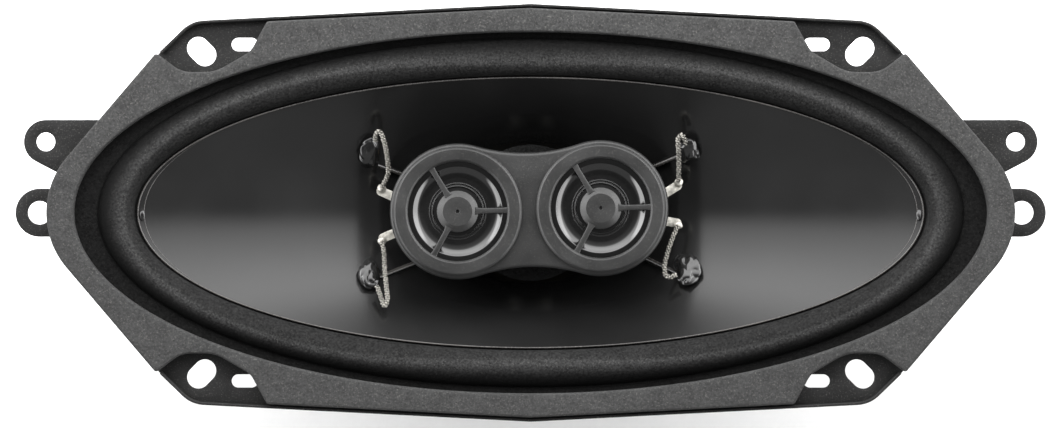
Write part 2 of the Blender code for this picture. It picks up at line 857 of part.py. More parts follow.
def make_face(name, centre, mount):
    """The front grille of a tweeter: a rounded ring, three spokes and a bevelled disc."""
    low = BRIDGE_DECK + GAP
    face = lathe(
        f"tweeter_{name}_face",
        [
            (FACE_OPENING, FACE_TOP - 0.6 * MM),
            (FACE_OPENING + 0.6 * MM, FACE_TOP),
            (FACE_RADIUS - 1.0 * MM, FACE_TOP),
            (FACE_RADIUS - 0.3 * MM, FACE_TOP - 0.3 * MM),
            (FACE_RADIUS, FACE_TOP - 1.0 * MM),
            (FACE_RADIUS, low),
            (FACE_OPENING, low),
        ],
        MOULDED,
        32,
        centre=centre,
        parent=mount,
    )
    disc = lathe(
        f"{name}_disc",
        [
            (0, FACE_TOP - 0.1 * MM),
            (3.65 * MM, FACE_TOP - 0.1 * MM),
            (5.35 * MM, FACE_TOP - 0.9 * MM),
            (5.35 * MM, 62.6 * MM),
            (0, 62.6 * MM),
        ],
        None,
        20,
        closed=False,
        centre=centre,
        parent=mount,
    )
    boolean(face, disc, "UNION")
    for spoke in range(3):
        turn = math.radians(120 * spoke)
        reach = 9.0 * MM
        bar = box(
            f"{name}_spoke",
            (9.4 * MM, 1.4 * MM, 0.9 * MM),
            (centre[0] + reach * math.cos(turn), reach * math.sin(turn), 63.1 * MM),
            parent=mount,
        )
        bar.rotation_euler.z = turn
        boolean(face, bar, "UNION")


# Wiring

LUG_TIPS = {
    "upper_left": ((-39.3, 5.8), 156.0),
    "lower_left": ((-38.8, -6.8), 203.0),
    "upper_right": ((38.5, 7.3), 32.0),
    "lower_right": ((38.5, -2.8), -10.0),
}
LUG_LENGTH = 9.0 * MM
LUG_TOP = BRIDGE_BOTTOM - GAP
LUG_THICK = 0.4 * MM

BLOB_PLACES = {
    "upper_left": (-42.5, 16.5),
    "lower_left": (-42.2, -16.5),
    "upper_right": (41.9, 16.8),
    "lower_right": (41.6, -15.5),
}

# Each front lead's route from its lug to its drop of glue on the cone, in millimetres
FRONT_ROUTES = {
    "upper_left": (
        (-38.6, 6.3, 50.7),
        (-36.9, 10.1, 52.2),
        (-37.0, 14.0, 54.2),
        (-37.8, 18.4, 56.2),
        (-38.9, 20.9, 56.8),
        (-39.9, 20.2, 56.4),
        (-40.0, 18.4, 55.2),
    ),
    "lower_left": (
        (-38.5, -7.3, 50.7),
        (-37.9, -10.6, 52.0),
        (-37.7, -14.6, 54.0),
        (-37.2, -19.0, 56.0),
        (-36.9, -22.4, 57.2),
        (-37.7, -24.0, 57.4),
        (-38.6, -21.8, 56.4),
        (-39.6, -19.0, 55.2),
    ),
    "upper_right": (
        (38.3, 7.9, 50.7),
        (38.3, 11.0, 52.4),
        (38.2, 15.2, 54.6),
        (38.0, 18.7, 56.2),
        (38.8, 20.0, 56.6),
        (39.7, 18.8, 55.8),
        (39.9, 17.8, 55.0),
    ),
    "lower_right": (
        (38.2, -3.2, 50.7),
        (36.9, -6.0, 51.6),
        (35.6, -9.6, 52.6),
        (34.6, -13.4, 53.4),
        (34.8, -16.0, 53.6),
        (36.0, -16.6, 53.4),
        (37.6, -16.1, 53.2),
    ),
}

BOARD_X = 62.0 * MM
BOARD_SIZE = (11.0 * MM, 28.0 * MM, 1.6 * MM)
TERMINAL_SIZE = (4.8 * MM, 0.8 * MM, 14.0 * MM)
TERMINAL_Y = 10.5 * MM


def make_lugs():
    for name, ((x, y), turn) in LUG_TIPS.items():
        angle = math.radians(turn)
        half = (LUG_LENGTH - 2.4 * MM) / 2
        back = half + 0.6 * MM
        centre = (x * MM - back * math.cos(angle), y * MM - back * math.sin(angle))
        outline = slot(centre, half, 1.2 * MM, turn, 4)
        plate(f"lug_{name}", [outline], LUG_TOP - LUG_THICK, LUG_TOP, TIN)


def make_blobs(parent):
    for name, (x, y) in BLOB_PLACES.items():
        x, y = x * MM, y * MM
        normal = cone_normal(x, y)
        shape = bmesh.new()
        bmesh.ops.create_uvsphere(shape, u_segments=10, v_segments=6, radius=1.0)
        bmesh.ops.scale(shape, vec=(2.7 * MM, 3.9 * MM, 1.5 * MM), verts=shape.verts)
        mesh = bpy.data.meshes.new(f"glue_{name}")
        shape.to_mesh(mesh)
        shape.free()
        smooth(mesh, 60)
        made = add_object(f"glue_{name}", mesh, GLUE, parent)
        lift = CONE_THICK / 2 + GAP + 1.6 * MM
        made.location = Vector((x, y, cone_height(x, y))) + normal * lift
        made.rotation_euler = normal.to_track_quat("Z", "Y").to_euler()


def make_front_leads():
    for name, route in FRONT_ROUTES.items():
        points = [(x * MM, y * MM, z * MM) for x, y, z in route]
        tube(f"front_lead_{name}", smooth_route(points, 2), LEAD_RADIUS, BRAID)


def make_coil_wires(parent):
    """The voice coil's ends, laid on the front of the cone from the dust ring out to the glue."""
    for name, (x, y) in BLOB_PLACES.items():
        blob = Vector((x * MM, y * MM))
        start = Vector((math.copysign(19.6, x) * MM, math.copysign(10.2, y) * MM))
        end = blob + (start - blob).normalized() * 4.6 * MM
        points = []
        for i in range(6):
            place = start.lerp(end, i / 5)
            lift = cone_normal(place.x, place.y) * (CONE_THICK / 2 + GAP + WIRE_RADIUS)
            points.append(Vector((place.x, place.y, cone_height(place.x, place.y))) + lift)
        tube(f"coil_wire_{name}", points, WIRE_RADIUS, ENAMEL, parent)


def board_place(side):
    """Middle and tilt of a terminal board, which lies under the basket's rib on the long axis."""
    slope = math.atan2(16.0, 54.0)
    rib_z = (34.0 + (BOARD_X / MM - 44.0) * 16.0 / 54.0) * MM
    drop = SHEET / 2 + GAP + BOARD_SIZE[2] / 2
    middle = Vector((side * (BOARD_X + drop * math.sin(slope)), 0, rib_z - drop * math.cos(slope)))
    return middle, -side * slope


def make_terminals(name, side):
    middle, tilt = board_place(side)
    board = box(f"terminal_board_{name}", BOARD_SIZE, middle, PAPER_BOARD, tilt=tilt)
    for row, sy in (("upper", 1), ("lower", -1)):
        down = Matrix.Rotation(tilt, 3, "Y") @ Vector((0, 0, -3.2 * MM))
        place = middle + down + Vector((0, sy * TERMINAL_Y, 0))
        box(f"terminal_{row}_{name}", TERMINAL_SIZE, place, TIN, tilt=tilt)
        hole = [TERMINAL_SIZE[0] + 2 * GAP, TERMINAL_SIZE[1] + 2 * GAP, 6 * MM]
        cutter = box("terminal_slot", hole, middle + Vector((0, sy * TERMINAL_Y, 0)), tilt=tilt)
        boolean(board, cutter)


def make_rear_leads():
    """Leads behind the cone, from under each drop of glue to the nearer terminal."""
    for name, (x, y) in BLOB_PLACES.items():
        side = math.copysign(1, x)
        sy = math.copysign(1, y)
        route = [
            (x, y, cone_height(x * MM, y * MM) / MM - 1.9),
            (side * 43.6, sy * 17.0, 45.2),
            (side * 47.0, sy * 16.6, 43.4),
            (side * 51.5, sy * 14.6, 42.4),
            (side * 55.6, sy * 12.2, 42.0),
            (side * 58.6, sy * 10.8, 41.8),
        ]
        points = [(px * MM, py * MM, pz * MM) for px, py, pz in route]
        tube(f"rear_lead_{name}", smooth_route(points, 2), 0.5 * MM, BRAID)


clear_scene()
PARTS = new_collection("coaxial_car_speaker")
CUTTERS = new_collection("cutters")

STEEL = new_material("black_painted_steel", (0.055, 0.055, 0.057), 0.5)
PLATED = new_material("plated_steel", (0.55, 0.55, 0.53), 0.35, 1.0)
FERRITE = new_material("ferrite", (0.045, 0.045, 0.047), 0.6)
FIBRE = new_material("pressed_fibre", (0.085, 0.085, 0.085), 0.85)
RUBBER = new_material("foam_rubber", (0.045, 0.045, 0.045), 0.9)
POLYMER = new_material("glossy_polymer", (0.02, 0.02, 0.021), 0.25)
CLOTH = new_material("treated_cloth", (0.42, 0.3, 0.13), 0.9)
FOAM = new_material("open_foam", (0.02, 0.02, 0.02), 1.0)
FOIL = new_material("coil_former", (0.5, 0.42, 0.3), 0.6)
COPPER = new_material("copper_winding", (0.6, 0.27, 0.12), 0.35, 1.0)
MOULDED = new_material("moulded_plastic", (0.07, 0.07, 0.07), 0.5)
FILM = new_material("glossy_film", (0.008, 0.008, 0.008), 0.12)
NEODYMIUM = new_material("nickel_plate", (0.6, 0.58, 0.52), 0.25, 1.0)
SLEEVE = new_material("shrink_sleeve", (0.02, 0.05, 0.2), 0.4)
TIN = new_material("tinned_brass", (0.7, 0.68, 0.62), 0.3, 1.0)
BRAID = new_material("tinsel_braid", (0.75, 0.73, 0.68), 0.45, 0.6)
GLUE = new_material("black_glue", (0.01, 0.01, 0.01), 0.1)
ENAMEL = new_material("enamelled_wire", (0.12, 0.08, 0.05), 0.35)
PAPER_BOARD = new_material("phenolic_board", (0.2, 0.1, 0.04), 0.6)

cone_axis = add_empty("cone_axis")
bridge_mount = add_empty("bridge_mount", (BRIDGE_X, BRIDGE_Y, 0), BRIDGE_TURN)
rivet_cutters = make_rivets()
make_motor(rivet_cutters)
make_basket(rivet_cutters)
make_gasket()
loft("surround", surround_rings(), RUBBER, SURROUND_THICK)
make_cone(cone_axis)
make_spider()
make_voice_coil(cone_axis)
make_post()
make_bridge(bridge_mount)
for side_name, side in SIDES.items():
    tweeter_axis = add_empty(
        f"tweeter_{side_name}_axis", (side * CUP_SPREAD, 0, 0), parent=bridge_mount
    )
    make_tweeter(side_name, side, bridge_mount, tweeter_axis)
    make_terminals(side_name, side)
make_lugs()
make_blobs(cone_axis)
make_front_leads()
make_coil_wires(cone_axis)
make_rear_leads()
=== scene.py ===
import math

import bmesh
import bpy
import numpy as np
from mathutils import Matrix, Vector
from mathutils.geometry import delaunay_2d_cdt


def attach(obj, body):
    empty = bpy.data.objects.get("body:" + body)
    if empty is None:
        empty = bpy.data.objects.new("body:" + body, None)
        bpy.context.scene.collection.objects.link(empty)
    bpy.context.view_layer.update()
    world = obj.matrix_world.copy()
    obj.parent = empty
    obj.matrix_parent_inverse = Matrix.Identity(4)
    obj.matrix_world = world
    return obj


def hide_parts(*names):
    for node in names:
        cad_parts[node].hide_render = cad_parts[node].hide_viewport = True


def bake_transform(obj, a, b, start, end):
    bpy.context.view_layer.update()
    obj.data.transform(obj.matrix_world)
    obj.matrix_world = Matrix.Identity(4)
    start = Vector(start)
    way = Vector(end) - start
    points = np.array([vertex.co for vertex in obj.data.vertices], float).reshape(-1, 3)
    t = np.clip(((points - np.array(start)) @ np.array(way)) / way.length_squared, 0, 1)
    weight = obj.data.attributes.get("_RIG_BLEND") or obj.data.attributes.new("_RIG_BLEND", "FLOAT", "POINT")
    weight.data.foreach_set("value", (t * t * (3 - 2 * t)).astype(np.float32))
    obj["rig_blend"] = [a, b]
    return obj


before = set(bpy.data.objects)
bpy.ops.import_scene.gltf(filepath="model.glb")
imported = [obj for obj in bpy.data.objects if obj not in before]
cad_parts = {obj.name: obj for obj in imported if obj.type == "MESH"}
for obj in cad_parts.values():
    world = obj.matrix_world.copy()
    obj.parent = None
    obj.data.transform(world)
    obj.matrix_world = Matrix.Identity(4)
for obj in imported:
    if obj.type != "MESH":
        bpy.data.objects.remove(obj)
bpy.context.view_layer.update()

mm = 0.001
fullTurn = 2 * math.pi
print("frame loaded:", len(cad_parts), "CAD nodes")

# Camera straight above the cone, with the long axis level
cameraSetup = {"aim": (-0.95, -0.33), "height": 1262.0, "lens": 159.8, "sensor": 36.0}
cameraData = bpy.data.cameras.new("studioCamera")
cameraData.lens = cameraSetup["lens"]
cameraData.sensor_width = cameraSetup["sensor"]
cameraObject = bpy.data.objects.new("studioCamera", cameraData)
cameraObject.location = (cameraSetup["aim"][0] * mm, cameraSetup["aim"][1] * mm, cameraSetup["height"] * mm)
bpy.context.scene.collection.objects.link(cameraObject)
bpy.context.scene.camera = cameraObject
bpy.context.scene.view_settings.view_transform = "Standard"


# Node helpers: values may be plain numbers or another node's socket
def node(tree, kind, values=None, **settings):
    made = tree.nodes.new("ShaderNode" + kind)
    for key, value in settings.items():
        setattr(made, key, value)
    for key, value in (values or {}).items():
        if isinstance(value, bpy.types.NodeSocket):
            tree.links.new(value, made.inputs[key])
        else:
            made.inputs[key].default_value = value
    return made


def newGroup(name, inputs, outputs):
    tree = bpy.data.node_groups.new(name, "ShaderNodeTree")
    for label, kind, value in inputs:
        socket = tree.interface.new_socket(label, in_out="INPUT", socket_type="NodeSocket" + kind)
        if value is not None:
            socket.default_value = value
    for label, kind in outputs:
        tree.interface.new_socket(label, in_out="OUTPUT", socket_type="NodeSocket" + kind)
    given = tree.nodes.new("NodeGroupInput").outputs
    wanted = tree.nodes.new("NodeGroupOutput").inputs
    return tree, given, wanted


# Two colours mixed by broad noise and, by the share called Speckle, by fine noise
def buildTone():
    tree, given, wanted = newGroup(
        "variedTone",
        [
            ("Vector", "Vector", None),
            ("Scale", "Float", 60.0),
            ("Fine Scale", "Float", 1500.0),
            ("Speckle", "Float", 0.4),
            ("Dark", "Color", (0.02, 0.02, 0.02, 1)),
            ("Light", "Color", (0.05, 0.05, 0.05, 1)),
        ],
        [("Color", "Color"), ("Value", "Float")],
    )
    broad = node(tree, "TexNoise", {"Vector": given["Vector"], "Scale": given["Scale"], "Detail": 5.0})
    fine = node(tree, "TexNoise", {"Vector": given["Vector"], "Scale": given["Fine Scale"], "Detail": 2.0})
    mixed = node(tree, "Mix", {0: given["Speckle"], 2: broad.outputs[0], 3: fine.outputs[0]})
    value = node(tree, "MapRange", {"Value": mixed.outputs[0], "From Min": 0.36, "From Max": 0.64})
    colour = node(
        tree, "Mix", {0: value.outputs[0], 6: given["Dark"], 7: given["Light"]}, data_type="RGBA"
    )
    tree.links.new(colour.outputs[2], wanted["Color"])
    tree.links.new(value.outputs[0], wanted["Value"])
    return tree


# Fine pits and grains as a bump
def buildGrain():
    tree, given, wanted = newGroup(
        "surfaceGrain",
        [
            ("Vector", "Vector", None),
            ("Scale", "Float", 1200.0),
            ("Depth", "Float", 0.00002),
            ("Pits", "Float", 0.3),
            ("Normal", "Vector", None),
        ],
        [("Normal", "Vector")],
    )
    noise = node(tree, "TexNoise", {"Vector": given["Vector"], "Scale": given["Scale"], "Detail": 4.0})
    cells = node(tree, "TexVoronoi", {"Vector": given["Vector"], "Scale": given["Scale"]})
    height = node(tree, "Mix", {0: given["Pits"], 2: noise.outputs[0], 3: cells.outputs["Distance"]})
    bump = node(
        tree,
        "Bump",
        {"Height": height.outputs[0], "Distance": given["Depth"], "Normal": given["Normal"]},
    )
    tree.links.new(bump.outputs["Normal"], wanted["Normal"])
    return tree


# Rings cut by a lathe: noise along the distance from an upright axis at Centre
def buildTurned():
    tree, given, wanted = newGroup(
        "turnedMarks",
        [
            ("Vector", "Vector", None),
            ("Centre", "Vector", None),
            ("Rings Per Metre", "Float", 2500.0),
            ("Depth", "Float", 0.00001),
            ("Normal", "Vector", None),
        ],
        [("Normal", "Vector"), ("Value", "Float")],
    )
    moved = node(tree, "VectorMath", {0: given["Vector"], 1: given["Centre"]}, operation="SUBTRACT")
    flat = node(tree, "VectorMath", {0: moved.outputs[0], 1: (1, 1, 0)}, operation="MULTIPLY")
    radius = node(tree, "VectorMath", {0: flat.outputs[0]}, operation="LENGTH")
    parts = node(tree, "SeparateXYZ", {0: moved.outputs[0]})
    place = node(tree, "CombineXYZ", {"X": radius.outputs["Value"], "Y": parts.outputs["Z"]})
    rings = node(
        tree, "TexNoise", {"Vector": place.outputs[0], "Scale": given["Rings Per Metre"], "Detail": 3.0}
    )
    bump = node(
        tree,
        "Bump",
        {"Height": rings.outputs[0], "Distance": given["Depth"], "Normal": given["Normal"]},
    )
    tree.links.new(bump.outputs["Normal"], wanted["Normal"])
    tree.links.new(rings.outputs[0], wanted["Value"])
    return tree


# Dust that has settled on faces looking up
def buildDust():
    tree, given, wanted = newGroup(
        "settledDust",
        [
            ("Vector", "Vector", None),
            ("Amount", "Float", 0.1),
            ("Color", "Color", (0.05, 0.05, 0.05, 1)),
            ("Dust", "Color", (0.30, 0.29, 0.27, 1)),
        ],
        [("Color", "Color")],
    )
    facing = node(tree, "NewGeometry")
    parts = node(tree, "SeparateXYZ", {0: facing.outputs["Normal"]})
    specks = node(tree, "TexNoise", {"Vector": given["Vector"], "Scale": 2600.0, "Detail": 2.0})
    sparse = node(tree, "MapRange", {"Value": specks.outputs[0], "From Min": 0.58, "From Max": 0.75})
    upward = node(tree, "Math", {0: parts.outputs["Z"], 1: sparse.outputs[0]}, operation="MULTIPLY")
    share = node(
        tree, "Math", {0: upward.outputs[0], 1: given["Amount"]}, operation="MULTIPLY", use_clamp=True
    )
    mixed = node(tree, "Mix", {0: share.outputs[0], 6: given["Color"], 7: given["Dust"]}, data_type="RGBA")
    tree.links.new(mixed.outputs[2], wanted["Color"])
    return tree


toneGroup = buildTone()
grainGroup = buildGrain()
turnedGroup = buildTurned()
dustGroup = buildDust()


# One finish: varied tone, roughness that follows it, grain, and a little dust on top
def makeFinish(name, look):
    material = bpy.data.materials.new(name)
    material.use_nodes = True
    tree = material.node_tree
    shader = tree.nodes["Principled BSDF"]
    shader.inputs["Metallic"].default_value = look.get("metallic", 0.0)
    shader.inputs["Specular IOR Level"].default_value = look.get("specular", 0.5)
    shader.inputs["Coat Weight"].default_value = look.get("coat", 0.0)
    shader.inputs["Coat Roughness"].default_value = look.get("coatRoughness", 0.1)
    shader.inputs["Sheen Weight"].default_value = look.get("sheen", 0.0)
    place = node(tree, "TexCoord").outputs["Object"]
    tone = node(
        tree,
        "Group",
        {},
        node_tree=toneGroup,
    )
    values = {
        "Vector": place,
        "Scale": look.get("toneScale", 60.0),
        "Fine Scale": look.get("fineScale", 1500.0),
        "Speckle": look.get("speckle", 0.4),
        "Dark": (*look["dark"], 1),
        "Light": (*look["light"], 1),
    }
    fill(tree, tone, values)
    low, high = look["roughness"]
    rough = node(tree, "MapRange", {"Value": tone.outputs["Value"], "To Min": low, "To Max": high})
    tree.links.new(rough.outputs[0], shader.inputs["Roughness"])
    colour = tone.outputs["Color"]
    if look.get("dust"):
        dust = node(tree, "Group", {}, node_tree=dustGroup)
        fill(tree, dust, {"Vector": place, "Amount": look["dust"], "Color": colour})
        colour = dust.outputs["Color"]
    tree.links.new(colour, shader.inputs["Base Color"])
    grain = node(tree, "Group", {}, node_tree=grainGroup)
    fill(
        tree,
        grain,
        {
            "Vector": place,
            "Scale": look.get("grainScale", 1500.0),
            "Depth": look.get("grainDepth", 0.02) * mm,
            "Pits": look.get("pits", 0.3),
        },
    )
    normal = grain.outputs["Normal"]
    if "turned" in look:
        turned = node(tree, "Group", {}, node_tree=turnedGroup)
        fill(
            tree,
            turned,
            {
                "Vector": place,
                "Centre": tuple(c * mm for c in look["turned"]),
                "Rings Per Metre": look.get("rings", 2500.0),
                "Depth": look.get("ringDepth", 0.01) * mm,
                "Normal": normal,
            },
        )
        normal = turned.outputs["Normal"]
    tree.links.new(normal, shader.inputs["Normal"])
    return material, tree, shader, place, normal


def fill(tree, target, values):
    for key, value in values.items():
        if isinstance(value, bpy.types.NodeSocket):
            tree.links.new(value, target.inputs[key])
        else:
            target.inputs[key].default_value = value


def grey(value):
    return (value, value, value)

looks = {
    "black_painted_steel": {
        "dark": grey(0.004), "light": grey(0.008), "roughness": (0.42, 0.55), "specular": 0.26,
        "grainScale": 900, "grainDepth": 0.05, "dust": 0.15
    },
    "plated_steel": {
        "dark": (0.42, 0.41, 0.38), "light": (0.62, 0.61, 0.57), "roughness": (0.24, 0.42),
        "metallic": 1.0, "turned": (0, 0, 0), "toneScale": 90, "grainDepth": 0.01
    },
    "ferrite": {
        "dark": grey(0.028), "light": grey(0.06), "roughness": (0.5, 0.75), "grainScale": 2200,
        "grainDepth": 0.06, "toneScale": 120, "dust": 0.3
    },
    "pressed_fibre": {
        "dark": grey(0.010), "light": grey(0.032), "roughness": (0.75, 0.95), "toneScale": 220,
        "fineScale": 1800, "speckle": 0.7, "grainScale": 1300, "grainDepth": 0.16, "pits": 0.5,
        "specular": 0.35, "dust": 0.15
    },
    "foam_rubber": {
        "dark": grey(0.011), "light": grey(0.031), "specular": 0.05, "roughness": (0.6, 0.85),
        "toneScale": 260, "fineScale": 1600, "speckle": 0.75, "grainScale": 1700, "grainDepth": 0.10,
        "pits": 0.45, "dust": 0.12
    },
    "glossy_polymer": {
        "dark": grey(0.004), "light": grey(0.007), "roughness": (0.16, 0.22), "toneScale": 30,
        "speckle": 0.15, "grainScale": 500, "grainDepth": 0.004
    },
    "treated_cloth": {
        "dark": (0.30, 0.19, 0.06), "light": (0.46, 0.32, 0.13), "roughness": (0.7, 0.9),
        "grainScale": 1500, "grainDepth": 0.05, "toneScale": 150
    },
    "open_foam": {
        "dark": grey(0.002), "light": grey(0.009), "specular": 0.2, "roughness": (0.9, 1.0),
        "grainScale": 1400, "grainDepth": 0.5, "pits": 0.8, "fineScale": 1400
    },
    "coil_former": {
        "dark": (0.42, 0.30, 0.15), "light": (0.55, 0.42, 0.24), "roughness": (0.35, 0.5),
        "grainDepth": 0.01
    },
    "copper_winding": {
        "dark": (0.50, 0.19, 0.08), "light": (0.66, 0.30, 0.15), "roughness": (0.22, 0.36),
        "metallic": 1.0, "grainDepth": 0.004
    },
    "moulded_plastic": {
        "dark": grey(0.007), "light": grey(0.012), "roughness": (0.36, 0.46), "grainScale": 2600,
        "grainDepth": 0.012, "toneScale": 110, "speckle": 0.2, "dust": 0.08
    },
    "glossy_film": {
        "dark": grey(0.001), "light": grey(0.003), "roughness": (0.08, 0.14), "grainScale": 300,
        "grainDepth": 0.001, "coat": 1.0, "coatRoughness": 0.05
    },
    "nickel_plate": {
        "dark": (0.50, 0.47, 0.41), "light": (0.66, 0.62, 0.55), "roughness": (0.14, 0.24),
        "metallic": 1.0, "grainDepth": 0.004
    },
    "shrink_sleeve": {
        "dark": (0.008, 0.03, 0.14), "light": (0.012, 0.045, 0.20), "roughness": (0.25, 0.4),
        "grainDepth": 0.01
    },
    "tinned_brass": {
        "dark": (0.30, 0.29, 0.26), "light": (0.70, 0.68, 0.62), "roughness": (0.28, 0.48),
        "toneScale": 500, "metallic": 0.6, "grainScale": 1200, "grainDepth": 0.02
    },
    "tinsel_braid": {
        "dark": (0.16, 0.155, 0.14), "light": (0.46, 0.44, 0.40), "roughness": (0.35, 0.55),
        "metallic": 0.35, "toneScale": 900, "fineScale": 4000, "grainScale": 4000, "grainDepth": 0.03
    },
    "black_glue": {
        "dark": grey(0.003), "light": grey(0.008), "roughness": (0.06, 0.16), "grainScale": 500,
        "grainDepth": 0.05, "coat": 0.5, "coatRoughness": 0.05
    },
    "enamelled_wire": {
        "dark": (0.018, 0.017, 0.016), "light": (0.045, 0.042, 0.040), "roughness": (0.2, 0.35),
        "grainDepth": 0.02, "coat": 0.4
    },
    "phenolic_board": {
        "dark": (0.10, 0.045, 0.016), "light": (0.19, 0.09, 0.035), "roughness": (0.45, 0.65),
        "toneScale": 250, "grainScale": 1800, "grainDepth": 0.03
    },
}
finishes = {name: makeFinish(name, look) for name, look in looks.items()}
materials = {name: made[0] for name, made in finishes.items()}


# The cone's gloss carries faint streaks across the short axis
def addConeStreaks():
    tree, _, place, _ = finishes["glossy_polymer"][1:]
    stretched = node(tree, "Mapping", {"Vector": place, "Scale": (700.0, 12.0, 12.0)})
    streaks = node(tree, "TexNoise", {"Vector": stretched.outputs[0], "Scale": 1.0, "Detail": 5.0})
    addRelief("glossy_polymer", streaks.outputs[0], 0.008)


# Raises a finish by a height of 0 to 1, over so many millimetres, on top of the relief it has
def addRelief(name, height, depth):
    tree, shader, _, normal = finishes[name][1:]
    bump = node(tree, "Bump", {"Height": height, "Distance": depth * mm, "Normal": normal})
    tree.links.new(bump.outputs["Normal"], shader.inputs["Normal"])


# Warp and weft: two square-on waves whose higher one shows
def addWeave():
    tree, _, place, _ = finishes["treated_cloth"][1:]
    warp = node(tree, "TexWave", {"Vector": place, "Scale": 520.0}, bands_direction="X")
    weft = node(tree, "TexWave", {"Vector": place, "Scale": 520.0}, bands_direction="Y")
    top = node(tree, "Math", {0: warp.outputs["Fac"], 1: weft.outputs["Fac"]}, operation="MAXIMUM")
    addRelief("treated_cloth", top.outputs[0], 0.12)


# Turns of fine wire, one above the other
def addWindings():
    tree, _, place, _ = finishes["copper_winding"][1:]
    turns = node(tree, "TexWave", {"Vector": place, "Scale": 850.0}, bands_direction="Z")
    addRelief("copper_winding", turns.outputs["Fac"], 0.1)


# A grey ramp from {position: brightness}
def addRamp(tree, value, stops):
    ramp = node(tree, "ValToRGB", {0: value})
    elements = ramp.color_ramp.elements
    for number, (position, bright) in enumerate(stops.items()):
        stop = elements[number] if number < 2 else elements.new(position)
        stop.position = position
        stop.color = (*grey(bright), 1)
    return ramp.outputs[0]


# Paints shade into a finish: darkens its colour by the brightness its pieces have at each share of "across"
def addPaintedShade(name, stops):
    tree, shader = finishes[name][1:3]
    share = node(tree, "Attribute", attribute_name="across")
    shade = addRamp(tree, share.outputs["Fac"], stops)
    colour = shader.inputs["Base Color"].links[0].from_socket
    mixed = node(tree, "Mix", {0: 1.0, 6: colour, 7: shade}, data_type="RGBA", blend_type="MULTIPLY")
    tree.links.new(mixed.outputs[2], shader.inputs["Base Color"])


# Painted light and shade on the surround: painted shade darkest in its outer groove and dark on its flat
# glued rim and outer slope, and a painted highlight lightest past its crest
rubberPaintedLight = {
    0.0: 0.26, 0.31: 0.26, 0.335: 0.08, 0.40: 0.10, 0.467: 0.13, 0.533: 0.23, 0.60: 0.42, 0.667: 0.66,
    0.747: 0.96, 0.81: 0.93, 0.867: 0.58, 1.0: 0.46
}
# Painted shade on the braided leads, darkest between the swellings of their strands
braidPaintedShade = {0.0: 0.16, 0.35: 0.5, 0.7: 1.0, 1.0: 1.0}  # darkest where its strands cross over
addConeStreaks()
addPaintedShade("foam_rubber", rubberPaintedLight)
addPaintedShade("tinsel_braid", braidPaintedShade)
addWeave()
addWindings()
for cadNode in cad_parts.values():
    for materialSlot in cadNode.material_slots:
        slotName = materialSlot.material.name.split(".")[0]
        if slotName in materials:
            materialSlot.material = materials[slotName]
        else:
            print("no finish for", materialSlot.material.name, "on", cadNode.name)
print("finishes made:", len(materials))


# Shapes in millimetres, as (points, faces)
def unit(vectors):
    return vectors / np.maximum(np.linalg.norm(vectors, axis=-1, keepdims=True), 1e-12)


def gridFaces(rows, cols, wrapRows, wrapCols):
    i, j = np.meshgrid(
        np.arange(rows if wrapRows else rows - 1), np.arange(cols if wrapCols else cols - 1), indexing="ij"
    )
    down, right = (i + 1) % rows, (j + 1) % cols
    quads = [i * cols + j, i * cols + right, down * cols + right, down * cols + j]
    return np.stack(quads, -1).reshape(-1, 4)


# A closed body from a grid of points. Six times the volume is the sum of a . (b x c) over its
# triangles, and where that is negative the faces are turned to point outwards.
def closedBody(rows, wrapRows=True, wrapCols=True):
    points = rows.reshape(-1, 3)
    faces = gridFaces(rows.shape[0], rows.shape[1], wrapRows, wrapCols)
    a, b, c, d = (points[faces[:, n]] for n in range(4))
    volume = np.sum(a * np.cross(b, c)) + np.sum(a * np.cross(c, d))
    return points, faces if volume > 0 else faces[:, ::-1]


# A wall round a grid surface: the surface moved half the thickness each way along its normals
def thinShell(rows, thick):
    along = np.gradient(rows, axis=0)
    around = np.roll(rows, -1, 1) - np.roll(rows, 1, 1)
    half = unit(np.cross(around, along)) * thick / 2
    return closedBody(np.concatenate([rows + half, (rows - half)[::-1]]))


# A profile of (radius, height) turned about an upright axis
def lathe(profile, steps=128, centre=(0, 0), closed=True):
    profile = np.asarray(profile, float)
    turn = np.linspace(0, fullTurn, steps, endpoint=False)
    radius, height = profile[:, :1], profile[:, 1:]
    x = centre[0] + radius * np.cos(turn)
    y = centre[1] + radius * np.sin(turn)
    return closedBody(np.stack([x, y, height + 0 * turn], -1), wrapRows=closed)


# Each corner is replaced by an arc that touches both of its sides: (x, y, radius)
def roundCorners(corners, closed=True, steps=6):
    corners = np.asarray(corners, float)
    made = []
    count = len(corners)
    for i, (x, y, radius) in enumerate(corners):
        corner = np.array([x, y])
        ends = not closed and i in (0, count - 1)
        if radius == 0 or ends:
            made.append(corner[None])
            continue
        back = unit(corners[i - 1, :2] - corner)
        on = unit(corners[(i + 1) % count, :2] - corner)
        half = math.acos(np.clip(back @ on, -1, 1)) / 2
        centre = corner + unit(back + on) * radius / math.sin(half)
        first = corner + back * radius / math.tan(half) - centre
        last = corner + on * radius / math.tan(half) - centre
        sweep = math.pi - 2 * half
        share = np.linspace(0, 1, steps + 1)[:, None]
        turned = np.sin((1 - share) * sweep) * first + np.sin(share * sweep) * last
        made.append(centre + turned / math.sin(sweep))
    return np.concatenate(made)


# A closed outline at even spacing
def resample(outline, count):
    loop = np.concatenate([outline, outline[:1]])
    length = np.concatenate([[0], np.cumsum(np.linalg.norm(np.diff(loop, axis=0), axis=1))])
    at = np.linspace(0, length[-1], count, endpoint=False)
    return np.stack([np.interp(at, length, loop[:, n]) for n in range(loop.shape[1])], -1)


def oval(axes, angles):
    return np.stack([axes[0] * np.cos(angles), axes[1] * np.sin(angles)], -1)


# Outward normals of an outline that runs anticlockwise
def outlineNormals(outline):
    along = unit(np.roll(outline, -1, 0) - np.roll(outline, 1, 0))
    return np.stack([along[:, 1], -along[:, 0]], -1)


def atHeight(outline, height):
    return np.concatenate([outline, np.full((len(outline), 1), height)], 1)


